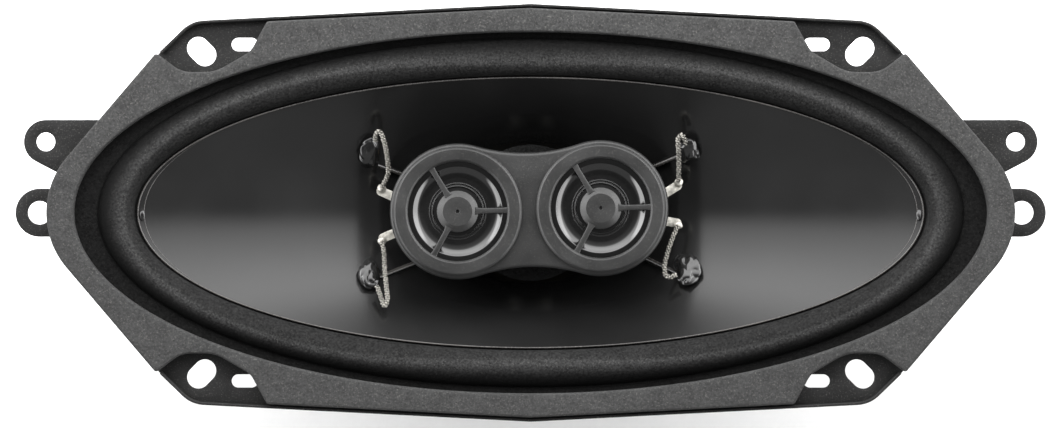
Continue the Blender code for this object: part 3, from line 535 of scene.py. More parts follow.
# Rows over a rounded edge: the outline moved inwards by edge (1 - cos q) as it rises by edge sin q
def edgeRows(outline, high, edge, steps=5, rising=True):
    inward = -outlineNormals(outline)
    angles = np.linspace(0, math.pi / 2, steps + 1)
    rows = [
        atHeight(outline + inward * edge * (1 - math.cos(q)), high - edge + edge * math.sin(q))
        for q in angles
    ]
    return rows if rising else rows[::-1]


# A plate without holes: from a pole above, over both rounded edges, to a pole below
def discPlate(outline, low, high, edge, lowEdge=None, middle=None):
    lowEdge = edge if lowEdge is None else lowEdge
    middle = outline.mean(0) if middle is None else np.asarray(middle, float)
    centre = np.repeat(middle[None], len(outline), 0)
    top = edgeRows(outline, high, edge, rising=False)
    under = edgeRows(outline, -low, lowEdge)
    for row in under:
        row[:, 2] *= -1
    inner = outline - outlineNormals(outline) * edge
    rows = [atHeight(centre, high), atHeight(centre * 0.5 + inner * 0.5, high)] + top + under
    rows += [atHeight(centre, low)]
    return closedBody(np.stack(rows), wrapRows=False)


# Whether points lie inside any outline of a set, counting crossings of a ray along +X
def insideOutlines(points, outlines):
    crossings = np.zeros(len(points), int)
    for outline in outlines:
        a, b = outline, np.roll(outline, -1, 0)
        for start in range(0, len(points), 4000):
            p = points[start : start + 4000, None]
            spans = (a[None, :, 1] > p[..., 1]) != (b[None, :, 1] > p[..., 1])
            rise = np.where(b[:, 1] == a[:, 1], 1e-9, b[:, 1] - a[:, 1])
            x = a[None, :, 0] + (p[..., 1] - a[None, :, 1]) / rise * (b[:, 0] - a[:, 0])
            crossings[start : start + 4000] += (spans & (p[..., 0] < x)).sum(1)
    return crossings % 2 == 1


# A flat plate with holes: rounded walls along every outline, and both faces filled with a
# Delaunay triangulation of the outlines and a lattice of points between them. Outlines keep the
# plate on their left: the outside runs anticlockwise and holes clockwise.
def plateBodies(outlines, low, high, edge=0.2, lowEdge=None, spacing=4.0, steps=3, lift=None):
    lowEdge = edge if lowEdge is None else lowEdge
    walls, topLoops = [], []
    for outline in outlines:
        top = edgeRows(outline, high, edge, steps, rising=False)
        under = edgeRows(outline, -low, lowEdge, steps)
        for row in under:
            row[:, 2] *= -1
        rows = np.stack(top + under)
        walls.append((rows.reshape(-1, 3), gridFaces(len(rows), len(outline), False, True)[:, ::-1]))
        topLoops.append((rows[0], rows[-1]))
    flat = [loop[0][:, :2] for loop in topLoops]
    corner, far = outlines[0].min(0), outlines[0].max(0)
    gx, gy = np.meshgrid(np.arange(corner[0], far[0], spacing), np.arange(corner[1], far[1], spacing))
    lattice = np.stack([gx.ravel(), gy.ravel()], -1)
    lattice = lattice[insideOutlines(lattice, flat)]
    border = np.concatenate(flat)
    if len(lattice):
        near = np.concatenate(
            [np.sqrt(((part[:, None] - border[None]) ** 2).sum(-1)).min(1)
            for part in np.array_split(lattice, max(1, len(lattice) // 400))]
        )
        lattice = lattice[near > 0.35 * spacing]
    sizes = [len(loop) for loop in flat]
    starts = np.cumsum([0] + sizes[:-1])
    edges = [(s + i, s + (i + 1) % n) for s, n in zip(starts, sizes) for i in range(n)]
    places = np.concatenate([border, lattice])
    made = delaunay_2d_cdt([Vector(p) for p in places], edges, [], 0, 1e-9)
    points, faces = np.array([tuple(p) for p in made[0]]), np.array(made[2])
    sides = [points[faces[:, n]] - points[faces[:, n - 1]] for n in range(3)]
    area = sides[0][:, 0] * sides[1][:, 1] - sides[0][:, 1] * sides[1][:, 0]
    longest = np.max([np.hypot(*side.T) for side in sides], 0)
    faces = faces[(np.abs(area) > 2e-4 * longest**2) & insideOutlines(points[faces].mean(1), flat)]
    topFace = np.column_stack([points, np.full(len(points), high)])
    if lift is not None:
        edgeless = np.isin(np.arange(len(points)), np.arange(len(border)), invert=True)
        topFace[:, 2] += lift(topFace) * edgeless
    a, b, c = (points[faces[:, n]] for n in range(3))
    if np.sum((b - a)[:, 0] * (c - a)[:, 1] - (b - a)[:, 1] * (c - a)[:, 0]) < 0:
        faces = faces[:, ::-1]
    if lowEdge == edge:
        bottomPoints = points
    else:
        bottomPoints = points.copy()
        bottomPoints[: len(border)] = np.concatenate([loop[1][:, :2] for loop in topLoops])
    bottom = np.column_stack([bottomPoints, np.full(len(points), low)])
    return walls + [(topFace, faces), (bottom, faces[:, ::-1])]


def placed(bodies, matrix):
    turn, shift = np.array(matrix.to_3x3()), np.array(matrix.translation)
    return [(points @ turn.T + shift, faces) for points, faces in bodies]


# Unit ball as rows from pole to pole: (sin u cos v, sin u sin v, cos u)
def ballRows(high, around):
    u = np.linspace(0, math.pi, high)[:, None]
    v = np.linspace(0, fullTurn, around, endpoint=False)[None]
    return np.stack([np.sin(u) * np.cos(v), np.sin(u) * np.sin(v), np.cos(u) + 0 * v], -1)


def circle(x, y, radius, count=64):
    angles = -np.linspace(0, fullTurn, count, endpoint=False)
    return np.stack([x + radius * np.cos(angles), y + radius * np.sin(angles)], -1)


# A round-ended slot: two half circles whose centres lie half a length either side, clockwise
def slotOutline(x, y, half, radius, degrees, steps=20):
    turn = math.radians(degrees)
    angles = np.linspace(math.pi / 2, -math.pi / 2, steps)
    cap = radius * np.stack([np.cos(angles), np.sin(angles)], -1)
    outline = np.concatenate([cap + [half, 0], -cap - [half, 0]])
    c, s = math.cos(turn), math.sin(turn)
    return outline @ np.array([[c, s], [-s, c]]) + [x, y]


# A round section carried along a path, with both ends drawn to a point
def tube(path, radius, sides=10, reference=(0, 0, 1.0)):
    along = unit(np.gradient(path, axis=0))
    side = unit(np.cross(along, np.asarray(reference, float)))
    up = np.cross(side, along)
    turn = np.linspace(0, fullTurn, sides, endpoint=False)[None, :, None]
    radius = np.broadcast_to(radius, len(path))[:, None, None]
    rings = path[:, None] + radius * (np.cos(turn) * side[:, None] + np.sin(turn) * up[:, None])
    ends = [np.repeat(path[[n]], sides, 0)[None] for n in (0, -1)]
    return closedBody(np.concatenate([ends[0], rings, ends[1]]), wrapRows=False)


# Catmull-Rom curve through a route's points
def smoothRoute(points, steps=10):
    points = np.asarray(points, float)
    route = np.concatenate([2 * points[:1] - points[1:2], points, 2 * points[-1:] - points[-2:-1]])
    t = (np.arange(steps) / steps)[None, :, None]
    p0, p1, p2, p3 = (route[n : len(route) - 3 + n, None] for n in range(4))
    curve = 0.5 * (
        2 * p1
        + (p2 - p0) * t
        + (2 * p0 - 5 * p1 + 4 * p2 - p3) * t**2
        + (3 * p1 - p0 - 3 * p2 + p3) * t**3
    )
    return np.concatenate([curve.reshape(-1, 3), points[-1:]])


# Soft unevenness: sine waves in a few seeded directions
def unevenness(points, wavelength, seed, waves=7):
    random = np.random.default_rng(seed)
    directions = unit(random.normal(size=(waves, 3))) * fullTurn / wavelength
    directions *= random.uniform(0.6, 1.5, (waves, 1))
    phases = random.uniform(0, fullTurn, waves)
    return np.sin(points @ directions.T + phases).mean(-1) * 1.6


# Puts bodies into the scene as one piece that rides on a CAD body, or bends between two
def addPiece(name, bodies, material, body="chassis", stands=(), angle=35, between=None, weights=None):
    starts = np.cumsum([0] + [len(points) for points, faces in bodies[:-1]])
    points = np.concatenate([points for points, faces in bodies]) * mm
    faces = [faces + start for (_, faces), start in zip(bodies, starts)]
    corners = np.concatenate([part.ravel() for part in faces]).astype(np.int32)
    sizes = np.concatenate([np.full(len(part), part.shape[1]) for part in faces])
    mesh = bpy.data.meshes.new(name)
    mesh.vertices.add(len(points))
    mesh.vertices.foreach_set("co", points.astype(np.float32).ravel())
    mesh.loops.add(len(corners))
    mesh.loops.foreach_set("vertex_index", corners)
    mesh.polygons.add(len(sizes))
    mesh.polygons.foreach_set("loop_start", (np.cumsum(sizes) - sizes).astype(np.int32))
    mesh.update(calc_edges=True)
    shape = bmesh.new()
    shape.from_mesh(mesh)
    bmesh.ops.remove_doubles(shape, verts=shape.verts, dist=1e-7)
    shape.to_mesh(mesh)
    shape.free()
    return finishPiece(name, mesh, material, body, stands, angle, between, weights)


# Writes a share from 0 to 1 for each vertex, which the piece's finish reads to place painted light and shade
def paintShare(made, label, share):
    co = np.empty(len(made.data.vertices) * 3, np.float32)
    made.data.vertices.foreach_get("co", co)
    attribute = made.data.attributes.new(label, "FLOAT", "POINT")
    attribute.data.foreach_set("value", np.clip(share(co.reshape(-1, 3) / mm), 0, 1).astype(np.float32))


def finishPiece(name, mesh, material, body, stands, angle, between=None, weights=None):
    mesh.shade_smooth()
    mesh.set_sharp_from_angle(angle=math.radians(angle))
    mesh.materials.clear()
    mesh.materials.append(materials[material])
    made = bpy.data.objects.new(name, mesh)
    bpy.context.scene.collection.objects.link(made)
    if between:
        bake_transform(made, *between, start=(0, 0, 0), end=(0, 0, 0.1))
        co = np.empty(len(mesh.vertices) * 3, np.float32)
        mesh.vertices.foreach_get("co", co)
        share = np.clip(weights(co.reshape(-1, 3) / mm), 0, 1)
        share = share * share * (3 - 2 * share)
        mesh.attributes["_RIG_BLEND"].data.foreach_set("value", share.astype(np.float32))
    else:
        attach(made, body)
    if stands:
        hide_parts(*stands)
    print("made", name, len(mesh.polygons), "faces")
    return made


# Cuts bodies out of a body with exact Booleans and gives back a mesh
def carve(name, solid, cutters):
    def plainObject(label, points, faces):
        mesh = bpy.data.meshes.new(label)
        mesh.from_pydata(points * mm, [], faces.tolist())
        shape = bmesh.new()
        shape.from_mesh(mesh)
        bmesh.ops.remove_doubles(shape, verts=shape.verts, dist=1e-7)
        bmesh.ops.recalc_face_normals(shape, faces=shape.faces)
        shape.to_mesh(mesh)
        shape.free()
        made = bpy.data.objects.new(label, mesh)
        bpy.context.scene.collection.objects.link(made)
        return made

    target = plainObject(name + "_blank", *solid)
    tools = [plainObject(name + "_tool", *cutter) for cutter in cutters]
    for tool in tools:
        modifier = target.modifiers.new("cut", "BOOLEAN")
        modifier.object = tool
        modifier.operation = "DIFFERENCE"
        modifier.solver = "EXACT"
    bpy.context.view_layer.update()
    graph = bpy.context.evaluated_depsgraph_get()
    mesh = bpy.data.meshes.new_from_object(target.evaluated_get(graph))
    mesh.name = name
    for used in [target] + tools:
        bpy.data.objects.remove(used, do_unlink=True)
    return mesh


# Cone: a straight loft from a round neck to an oval rim
coneShape = {
    "neck": (13.3, 13.3, 37.0), "rim": (100.9, 34.8, 61.6), "thick": 0.5, "around": 320, "rows": 48,
    "beadOval": (100.75, 34.65), "beadHeight": 61.9, "beadRadius": 0.2,
    "creaseOval": (99.2, 35.4), "creaseTurn": 0.76, "creaseRadius": 0.1, "insideRim": 0.997,
    "gluePlace": (99.7, -0.6, 61.6), "glueSize": (0.8, 1.5, 0.7)
}


def coneRing(share):
    neck, rim = np.array(coneShape["neck"]), np.array(coneShape["rim"])
    return neck + (rim - neck) * np.asarray(share, float)[..., None]


# Height of the cone over a point: t is halved until the oval at t passes through the point
def coneHeight(x, y):
    low, high = np.zeros_like(x), np.ones_like(x)
    for _ in range(40):
        middle = (low + high) / 2
        rings = coneRing(middle)
        outside = (x / rings[..., 0]) ** 2 + (y / rings[..., 1]) ** 2 > 1
        low, high = np.where(outside, middle, low), np.where(outside, high, middle)
    return coneRing(low)[..., 2]


def coneNormal(x, y, step=0.2):
    slopeX = (coneHeight(x + step, y) - coneHeight(x - step, y)) / (2 * step)
    slopeY = (coneHeight(x, y + step) - coneHeight(x, y - step)) / (2 * step)
    return unit(np.stack([-slopeX, -slopeY, np.ones_like(slopeX)], -1))


# Rows of ovals, one for each (half length, half width, height)
def ovalRows(rings, around):
    angles = np.linspace(0, fullTurn, around, endpoint=False)
    rings = np.asarray(rings, float)
    x = rings[:, :1] * np.cos(angles)
    y = rings[:, 1:2] * np.sin(angles)
    return np.stack([x, y, rings[:, 2:] + 0 * angles], -1)


def buildCone():
    rings = coneRing(np.linspace(0, 1, coneShape["rows"]))
    rows = ovalRows(rings, coneShape["around"])
    addPiece("speaker_cone", [thinShell(rows, coneShape["thick"])], "glossy_polymer", "cone", ["cone"], 60)
    angles = np.linspace(0, fullTurn, 500)
    c = coneShape
    rim = np.column_stack([oval(c["beadOval"], angles), np.full(500, c["beadHeight"])])
    addPiece("cone_rim_bead", [tube(rim, c["beadRadius"], 10)], "enamelled_wire", "cone", angle=60)
    creases = []
    for side in (-1, 1):
        angles = np.linspace(-c["creaseTurn"], c["creaseTurn"], 160)
        place = oval(c["creaseOval"], angles) * [side, 1]
        reach = np.hypot(place[:, 0] / c["rim"][0], place[:, 1] / c["rim"][1])
        place = place * np.minimum(1, c["insideRim"] / reach)[:, None]
        lifted = coneHeight(place[:, 0], place[:, 1]) + coneShape["thick"] / 2
        thin = c["creaseRadius"] * np.sin(np.linspace(0.12, math.pi - 0.12, 160))
        creases.append(tube(np.column_stack([place, lifted]), thin, 8))
    addPiece("cone_edge_creases", creases, "enamelled_wire", "cone", angle=60)
    stops = []
    for side in (-1, 1):
        ball = ballRows(18, 28)
        swell = 1 + 0.2 * unevenness(ball.reshape(-1, 3), 1.5, 60 + side).reshape(18, 28, 1)
        x, y, z = c["gluePlace"]
        stops.append(closedBody(ball * swell * c["glueSize"] + [side * x, y, z], wrapRows=False))
    addPiece("cone_edge_glue", stops, "black_glue", "cone", angle=60)


# Surround: a flat glued rim, a half roll and a flap under the cone
surroundShape = {
    "rimOuter": (117.8, 47.3), "rimInner": (111.4, 44.95), "rollOuter": (110.9, 44.5), "rollWidth": 9.0,
    "rollHeight": 3.4, "height": 61.35, "thick": 0.5
}


def buildSurround():
    s = surroundShape
    flat = np.linspace(s["rimOuter"] + (s["height"],), s["rimInner"] + (s["height"],), 6)
    turn = np.linspace(0, math.pi, 26)
    inwards = s["rollWidth"] / 2 * (1 - np.cos(turn))
    roll = np.stack(
        [
            s["rollOuter"][0] - inwards, s["rollOuter"][1] - inwards, s["height"]
            + s["rollHeight"] * np.sin(turn)
        ], -1
    )
    flap = coneRing(np.array([1.0, 0.985, 0.97])) - np.array([0, 0, 1.3])
    rows = ovalRows(np.concatenate([flat, roll, flap]), 360)
    outer, inner = np.array([111.0, 44.6]), np.array([101.5, 35.2])

    # 0 outside the roll, 1 inside it: how far the point has come in from the roll's outer oval
    def weights(points):
        angle = np.arctan2(points[:, 1] / outer[1], points[:, 0] / outer[0])
        reach = np.hypot(points[:, 0], points[:, 1])
        far = np.linalg.norm(oval(outer, angle), axis=1)
        near = np.linalg.norm(oval(inner, angle), axis=1)
        return (far - reach) / (far - near)

    made = addPiece(
        "half_roll_surround", [thinShell(rows, s["thick"])], "foam_rubber", stands=["surround"],
        angle=60, between=("chassis", "cone"), weights=weights
    )
    # The share that places the surround's painted light and shade
    paintShare(made, "across", lambda points: (weights(points) + 0.5) / 1.5)


# Gasket: eight-sided pressed fibre with a notch at each corner and an oval opening
# The short slanting sides run this far across for each step along
slopeAngle = math.atan2(0.649, 0.761)

gasketShape = {
    "halfWidth": 52.4, "slope": 0.051, "endCentre": 102.2, "endRadius": 21.8, "opening": (117.0, 46.3),
    "rebate": (118.4, 47.9), "low": 61.1, "rebateHigh": 61.9, "high": 65.3, "edge": 0.6, "around": 1400
}


def gasketOutline():
    g = gasketShape
    normal = np.array([math.cos(slopeAngle), math.sin(slopeAngle)])
    distance = normal[0] * g["endCentre"] + g["endRadius"]
    notch = 67.5
    top = [
        (0, g["halfWidth"], 0),
        (notch, g["halfWidth"] - g["slope"] * notch, 0.8),
        (71.7, 41.3, 5),
        (80.8, 36.0, 10),
        (89.45, 36.0, 8),
        (95.95, 40.9, 0.7),
        ((distance - normal[1] * 20) / normal[0], 20, 0),
    ]
    upper = roundCorners(top, closed=False)[:-1]
    turn = np.linspace(slopeAngle, -slopeAngle, 40)
    end = np.array([g["endCentre"], 0]) + g["endRadius"] * np.stack([np.cos(turn), np.sin(turn)], -1)
    half = np.concatenate([upper, end, upper[::-1] * [1, -1]])
    left = half[1:-1][::-1] * [-1, 1]
    return np.concatenate([half, left])[::-1]


def buildGasket():
    g = gasketShape
    outer = resample(gasketOutline(), g["around"])
    if np.sum(outer[:, 0] * np.roll(outer[:, 1], -1) - np.roll(outer[:, 0], -1) * outer[:, 1]) < 0:
        outer = outer[::-1]
    angles = -np.linspace(0, fullTurn, 900, endpoint=False)
    opening, rebate = oval(g["opening"], angles), oval(g["rebate"], angles)
    split = g["rebateHigh"]
    bodies = plateBodies(
        [outer, opening], split - 0.02, g["high"], g["edge"], 0.02, 2.6, 5,
        lambda p: 0.04 * unevenness(p, 11.0, 3) - 0.07
    )
    bodies += plateBodies([outer, rebate], g["low"], split, 0.02, 0.05)
    addPiece("pressed_gasket", bodies, "pressed_fibre", stands=["front_gasket"], angle=50)


# Basket: a pressed bowl with windows, a flange with tabs and slots, and a turned-up lip on each long side
basketShape = {
    "sheet": 0.8,
    "rings": [
        (16.5, 16.5, 23.3), (31.2, 31.2, 23.3), (32.6, 32.6, 24.8), (33.2, 33.2, 31.0),
        (34.2, 34.2, 32.0), (38.0, 38.0, 32.0), (44.0, 39.6, 34.0), (98.0, 42.8, 50.0),
        (107.5, 44.2, 53.5), (111.9, 45.15, 57.0), (112.35, 45.45, 60.5)
    ],
    "topPeak": 53.577,
    "slope": 0.051,
    "corner": (87.0, 8.5),
    "lean": 136.4,
    "drift": 0.4,
    "inset": 0.4,
    "upperTab": (124.5, 18.2, 5.65, 2.4),
    "middleTab": (126.1, 0.0, 6.2, 3.0),
    "flange": (60.0, 60.8),
    "lipTop": 63.2,
}


# The corner and the knee of a long edge that is moved in by inset
def flangeCorner(inset):
    b, g = basketShape, gasketShape
    lean = b["lean"] - inset * math.sqrt(2)
    cornerX = b["corner"][0] - inset * b["drift"]
    nx, ny = math.cos(slopeAngle), math.sin(slopeAngle)
    distance = nx * g["endCentre"] + g["endRadius"] - b["inset"] - inset
    x = (distance - ny * lean) / (nx - ny)
    return (cornerX, b["topPeak"] - inset - b["slope"] * cornerX), (x, lean - x)


def longEdge(inset):
    corner, knee = flangeCorner(inset)
    corners = [
        (0.0, basketShape["topPeak"] - inset, 0), (*corner, basketShape["corner"][1] - inset),
        (*knee, 0)
    ]
    return roundCorners(corners, closed=False, steps=14)


def flangeOutlines():
    b, g = basketShape, gasketShape
    nx, ny = math.cos(slopeAngle), math.sin(slopeAngle)
    distance = nx * g["endCentre"] + g["endRadius"] - b["inset"]
    endRadius = g["endRadius"] - b["inset"]

    def arc(x, y, radius, start, end, steps):
        angles = np.radians(np.linspace(start, end, steps))
        return np.stack([x + radius * np.cos(angles), y + radius * np.sin(angles)], -1)

    top = longEdge(0.0)
    x, y, radius, _ = b["upperTab"]
    join = np.array([[(distance - ny * (y + radius)) / nx, y + radius]])
    mx, my, middleRadius, _ = b["middleTab"]
    meets = math.degrees(math.asin(middleRadius / endRadius))
    half = np.concatenate([
        top,
        join,
        arc(x, y, radius, 90, -62.5, 40),
        arc(g["endCentre"], 0, endRadius, 28, meets, 14),
        arc(mx, my, middleRadius, 90, -90, 44),
        arc(g["endCentre"], 0, endRadius, -meets, -math.degrees(slopeAngle), 24),
        top[::-1] * [1, -1],
    ])
    outer = np.concatenate([half, half[1:-1][::-1] * [-1, 1]])[::-1]
    mouth = oval(b["rings"][-1][:2], -np.linspace(0, fullTurn, 420, endpoint=False))
    holes = []
    for sx in (-1, 1):
        for sy in (-1, 1):
            holes.append(slotOutline(sx * 84.5, sy * 41.4, 1.2, 2.9, 45 * sx * sy))
            holes.append(slotOutline(sx * 73.4, sy * 43.2, 1.7, 1.7, 0))
        for tabX, tabY, _, hole in (b["upperTab"], b["middleTab"]):
            holes.append(circle(sx * tabX, tabY, hole))
    return resample(outer, 1500), [mouth] + holes


# The rows of the bowl's middle surface: rounded bends, then even steps along the profile
def bowlRings():
    rings = np.array(basketShape["rings"])
    roundings = (0, 1.2, 1.2, 0.8, 0.8, 2.5, 4, 4, 3, 1.5, 0)
    corners = [(r[0], r[2], radius) for r, radius in zip(rings, roundings)]
    bends = roundCorners(corners, closed=False, steps=6)
    widths = np.interp(bends[:, 0], rings[:, 0], rings[:, 1])
    rows = np.column_stack([bends[:, 0], widths, bends[:, 1]])
    parts = []
    for n in range(len(rows) - 1):
        pieces = max(2, int(np.hypot(*(bends[n + 1] - bends[n])) / 3.0) + 1)
        share = np.linspace(0, 1, pieces, endpoint=False)[:, None]
        parts.append(rows[n] + (rows[n + 1] - rows[n]) * share)
    return np.concatenate(parts + [rows[-1:]])


windowShape = {
    "arc": (44.5, 44.5), "arcTurn": (11, 50), "oval": (92.0, 37.0), "ovalTurn": (13.3, 67), "corner": 2.5,
    "cut": (30, 58), "sideHalf": 17, "sideHeights": (37.5, 49.5), "sideCorner": 3
}
rivetTurns = [math.radians(45 + 90 * n) for n in range(4)]
rivetPlaces = [(26 * math.cos(turn), 26 * math.sin(turn)) for turn in rivetTurns]


def windowCutter(sx, sy):
    w = windowShape
    # A loop along an arc beside the magnet and back along an oval near the flange
    inner = np.radians(np.linspace(*w["arcTurn"], 24))[::-1]
    outer = np.radians(np.linspace(*w["ovalTurn"], 40))
    loop = np.concatenate([oval(w["arc"], inner), oval(w["oval"], outer)])
    ends = dict.fromkeys((0, 23, 24, 63), w["corner"])
    thinned = [i for i in range(64) if i in ends or not any(0 < abs(i - e) < 5 for e in ends)]
    outline = roundCorners([(*loop[i], ends.get(i, 0)) for i in thinned], steps=8) * [sx, sy]
    if sx * sy < 0:
        outline = outline[::-1]
    return discPlate(resample(outline, 200), *w["cut"], 0.0, middle=outline.mean(0))


def buildBasket():
    b = basketShape
    rows = ovalRows(bowlRings(), 240)
    cutters = [windowCutter(sx, sy) for sx in (-1, 1) for sy in (-1, 1)]
    half, (low, high), corner = (windowShape[key] for key in ("sideHalf", "sideHeights", "sideCorner"))
    corners = [(-half, low, corner), (half, low, corner), (half, high, corner), (-half, high, corner)]
    side = roundCorners(corners, steps=8)
    points, faces = discPlate(resample(side, 120), -60, 60, 0.0, middle=(0, (low + high) / 2))
    cutters.append((points[:, [0, 2, 1]], faces))
    rivetHole = [(0, 27), (1.7, 27), (1.7, 20), (0, 20)]
    cutters += [lathe(rivetHole, 32, place, closed=False) for place in rivetPlaces]
    mesh = carve("pressed_bowl", thinShell(rows, b["sheet"]), cutters)
    bevelMesh(mesh, 0.12)
    finishPiece("pressed_bowl", mesh, "black_painted_steel", "chassis", ["basket_frame"], 42)
    outer, holes = flangeOutlines()
    bodies = plateBodies([outer] + holes, *b["flange"], 0.18, None, 5.0)
    addPiece("basket_flange", bodies, "black_painted_steel", stands=["basket_frame"], angle=45)
    bodies = []
    for sy in (-1, 1):
        halves = (longEdge(0.0), longEdge(b["sheet"]))
        outside, inside = (np.concatenate([h[1:][::-1] * [-1, 1], h]) * [1, sy] for h in halves)
        outline = resample(np.concatenate([outside, inside[::-1]]), 900)
        if sy > 0:
            outline = outline[::-1]
        bodies += plateBodies([outline], 60.2, b["lipTop"], 0.3, 0.05, 50.0)
    addPiece("basket_lips", bodies, "black_painted_steel", stands=["basket_frame"], angle=45)


# Rounds the edges that the Booleans leave sharp
def bevelMesh(mesh, width):
    holder = bpy.data.objects.new("bevel_blank", mesh)
    bpy.context.scene.collection.objects.link(holder)
    modifier = holder.modifiers.new("edge", "BEVEL")
    modifier.width = width * mm
    modifier.segments = 2
    modifier.limit_method = "ANGLE"
    modifier.angle_limit = math.radians(50)
    bpy.context.view_layer.update()
    made = bpy.data.meshes.new_from_object(holder.evaluated_get(bpy.context.evaluated_depsgraph_get()))
    shape = bmesh.new()
    shape.from_mesh(made)
    shape.to_mesh(mesh)
    shape.free()
    bpy.data.objects.remove(holder, do_unlink=True)
    bpy.data.meshes.remove(made)


buildBasket()
buildCone()
buildSurround()
buildGasket()

# Motor and the round pieces on the main axis, each as the corners of its section: (radius, height,
# rounding)
roundPieces = {
    "pole_and_back_plate": {
        "node": "back_plate_and_pole", "slot": "plated_steel",
        "corners": [(3.3, 22.8, 0.4), (12.2, 22.8, 0.5), (12.2, 5.0, 0.3), (31.0, 5.0, 0.6),
        (31.0, 0.0, 0.9), (6.5, 0.0, 0.3), (3.3, 1.8, 0.3)]
    },
    "magnet": {
        "node": "magnet_ring", "slot": "ferrite", "corners": [(17.5, 17.3, 0.2), (34.2, 17.3, 0.3),
        (35.0, 16.5, 0.3), (35.0, 6.1, 0.3), (34.2, 5.3, 0.3), (17.5, 5.3, 0.2)]
    },
    "front_plate": {
        "node": "top_plate", "slot": "plated_steel",
        "corners": [(14.9, 22.6, 0.3), (32.0, 22.6, 0.5), (32.0, 17.6, 0.5), (14.9, 17.6, 0.3)]
    },
    "coil_former_tube": {
        "node": "voice_coil_former", "slot": "coil_former", "body": "cone",
        "corners": [(12.7, 42.6, 0), (13.0, 42.6, 0), (13.0, 14.6, 0), (12.7, 14.6, 0)]
    },
    "winding_inner": {
        "node": "voice_coil_winding_a", "slot": "copper_winding", "body": "cone",
        "corners": [(13.3, 25.6, 0.1), (13.7, 25.6, 0.1), (13.7, 14.6, 0.1), (13.3, 14.6, 0.1)]
    },
    "winding_outer": {
        "node": "voice_coil_winding_b", "slot": "copper_winding", "body": "cone",
        "corners": [(14.0, 25.6, 0.1), (14.4, 25.6, 0.1), (14.4, 14.6, 0.1), (14.0, 14.6, 0.1)]
    },
}


def buildRoundPieces():
    for name, piece in roundPieces.items():
        profile = roundCorners(piece["corners"])
        addPiece(name, [lathe(profile, 144)], piece["slot"], piece.get("body", "chassis"), [piece["node"]])


# Foam ring: a turned block whose skin is uneven with open cells
def buildFoamRing():
    profile = roundCorners(
        [(7.3, 45.7, 0.6), (17.7, 45.7, 1.1), (17.7, 42.9, 0.5), (7.3, 42.9, 0.3)], steps=5
    )
    profile = resample(profile, 70)
    points, faces = lathe(profile, 260)
    outward = unit(points * [1, 1, 0]) * np.sign(np.hypot(points[:, 0], points[:, 1]) - 12.5)[:, None]
    lift = 0.10 * unevenness(points, 1.6, 5, 12)[:, None]
    points = points + outward * lift * (np.abs(np.hypot(points[:, 0], points[:, 1])[:, None] - 12.5) > 4.6)
    points[:, 2] += np.where(points[:, 2] > 45.0, 0.12 * unevenness(points, 1.9, 6, 12) - 0.06, 0)
    addPiece("open_foam_ring", [(points, faces)], "open_foam", "cone", ["foam_dust_ring"], 60)


# Spider: a cloth disc whose height is a sine of the radius between two flat bands
spiderShape = {
    "height": 32.9, "hole": 13.3, "outside": 37.0, "waves": (15.2, 32.4), "halfWaves": 7,
    "waveHeight": 1.1, "thick": 0.4, "glued": 33.0
}


def buildSpider():
    s = spiderShape
    radius = np.linspace(s["hole"], s["outside"], 110)
    start, end = s["waves"]
    phase = np.clip((radius - start) / (end - start), 0, 1) * s["halfWaves"] * math.pi
    height = s["height"] + s["waveHeight"] * np.sin(phase)
    rows = ovalRows(np.stack([radius, radius, height], -1), 160)

    # 0 at the glued outer edge, 1 at the coil former
    def weights(points):
        return (s["glued"] - np.hypot(points[:, 0], points[:, 1])) / (s["glued"] - start)

    addPiece(
        "corrugated_spider", [thinShell(rows, s["thick"])], "treated_cloth", stands=["spider"], angle=60,
        between=("chassis", "cone"), weights=weights
    )


# Post: a turned pillar with a threaded stud, whose thread is a helix in the radius
def buildPost():
    corners = [
        (0, 56.5, 0), (2.2, 56.5, 0.3), (2.6, 55.9, 0.1), (2.6, 50.0, 0), (5.0, 49.9, 0.4),
        (5.0, 23.1, 0.4), (3.0, 23.1, 0), (3.0, 8.0, 0.5), (0, 8.0, 0)
    ]
    profile = roundCorners(corners, closed=False, steps=4)
    steps = []
    for a, b in zip(profile[:-1], profile[1:]):
        count = max(2, int(np.linalg.norm(b - a) / 0.12))
        steps.append(np.linspace(a, b, count, endpoint=False))
    fine = np.concatenate(steps + [profile[-1:]])
    points, faces = lathe(fine, 48, closed=False)
    angle = np.arctan2(points[:, 1], points[:, 0])
    threaded = (points[:, 2] > 50.2) & (np.hypot(points[:, 0], points[:, 1]) > 2.0)
    cut = 0.14 * (np.sin(points[:, 2] * fullTurn / 0.7 - angle) - 1)
    points = points + unit(points * [1, 1, 0]) * (cut * threaded)[:, None]
    addPiece("bridge_post", [(points, faces)], "plated_steel", stands=["tweeter_post"], angle=30)
    turns = np.arange(6) * math.pi / 3
    flats = roundCorners([(4.6 * math.cos(a), 4.6 * math.sin(a), 0.3) for a in turns], steps=3)
    nutBody = plateBodies([resample(flats, 120), circle(0, 0, 2.8)], 51.7, 54.7, 0.25)
    addPiece("bridge_nut", nutBody, "plated_steel", stands=["post_nut"], angle=25)


def buildRivets():
    corners = [
        (0, 25.25, 0), (1.6, 25.2, 1.2), (3.0, 24.2, 0.3), (3.0, 24.0, 0), (1.6, 24.0, 0),
        (1.6, 18.4, 0.3), (0, 18.4, 0)
    ]
    profile = roundCorners(corners, closed=False, steps=5)
    for number, centre in enumerate(rivetPlaces):
        addPiece(
            f"rivet_{number + 1}", [lathe(profile, 40, centre, closed=False)], "plated_steel",
            stands=[f"frame_rivet_{number + 1}"]
        )


buildRoundPieces()
buildFoamRing()
buildSpider()
buildPost()
buildRivets()

# The bridge over the cone: two cups joined by a waist, turned a little about the post
bridgeShape = {
    "centre": (-0.4, 0.75), "turn": 1.3, "cup": 17.45, "spread": 18.35, "waist": 14.7, "low": 50.0,
    "high": 62.0, "wall": 1.4, "edge": 1.0
}


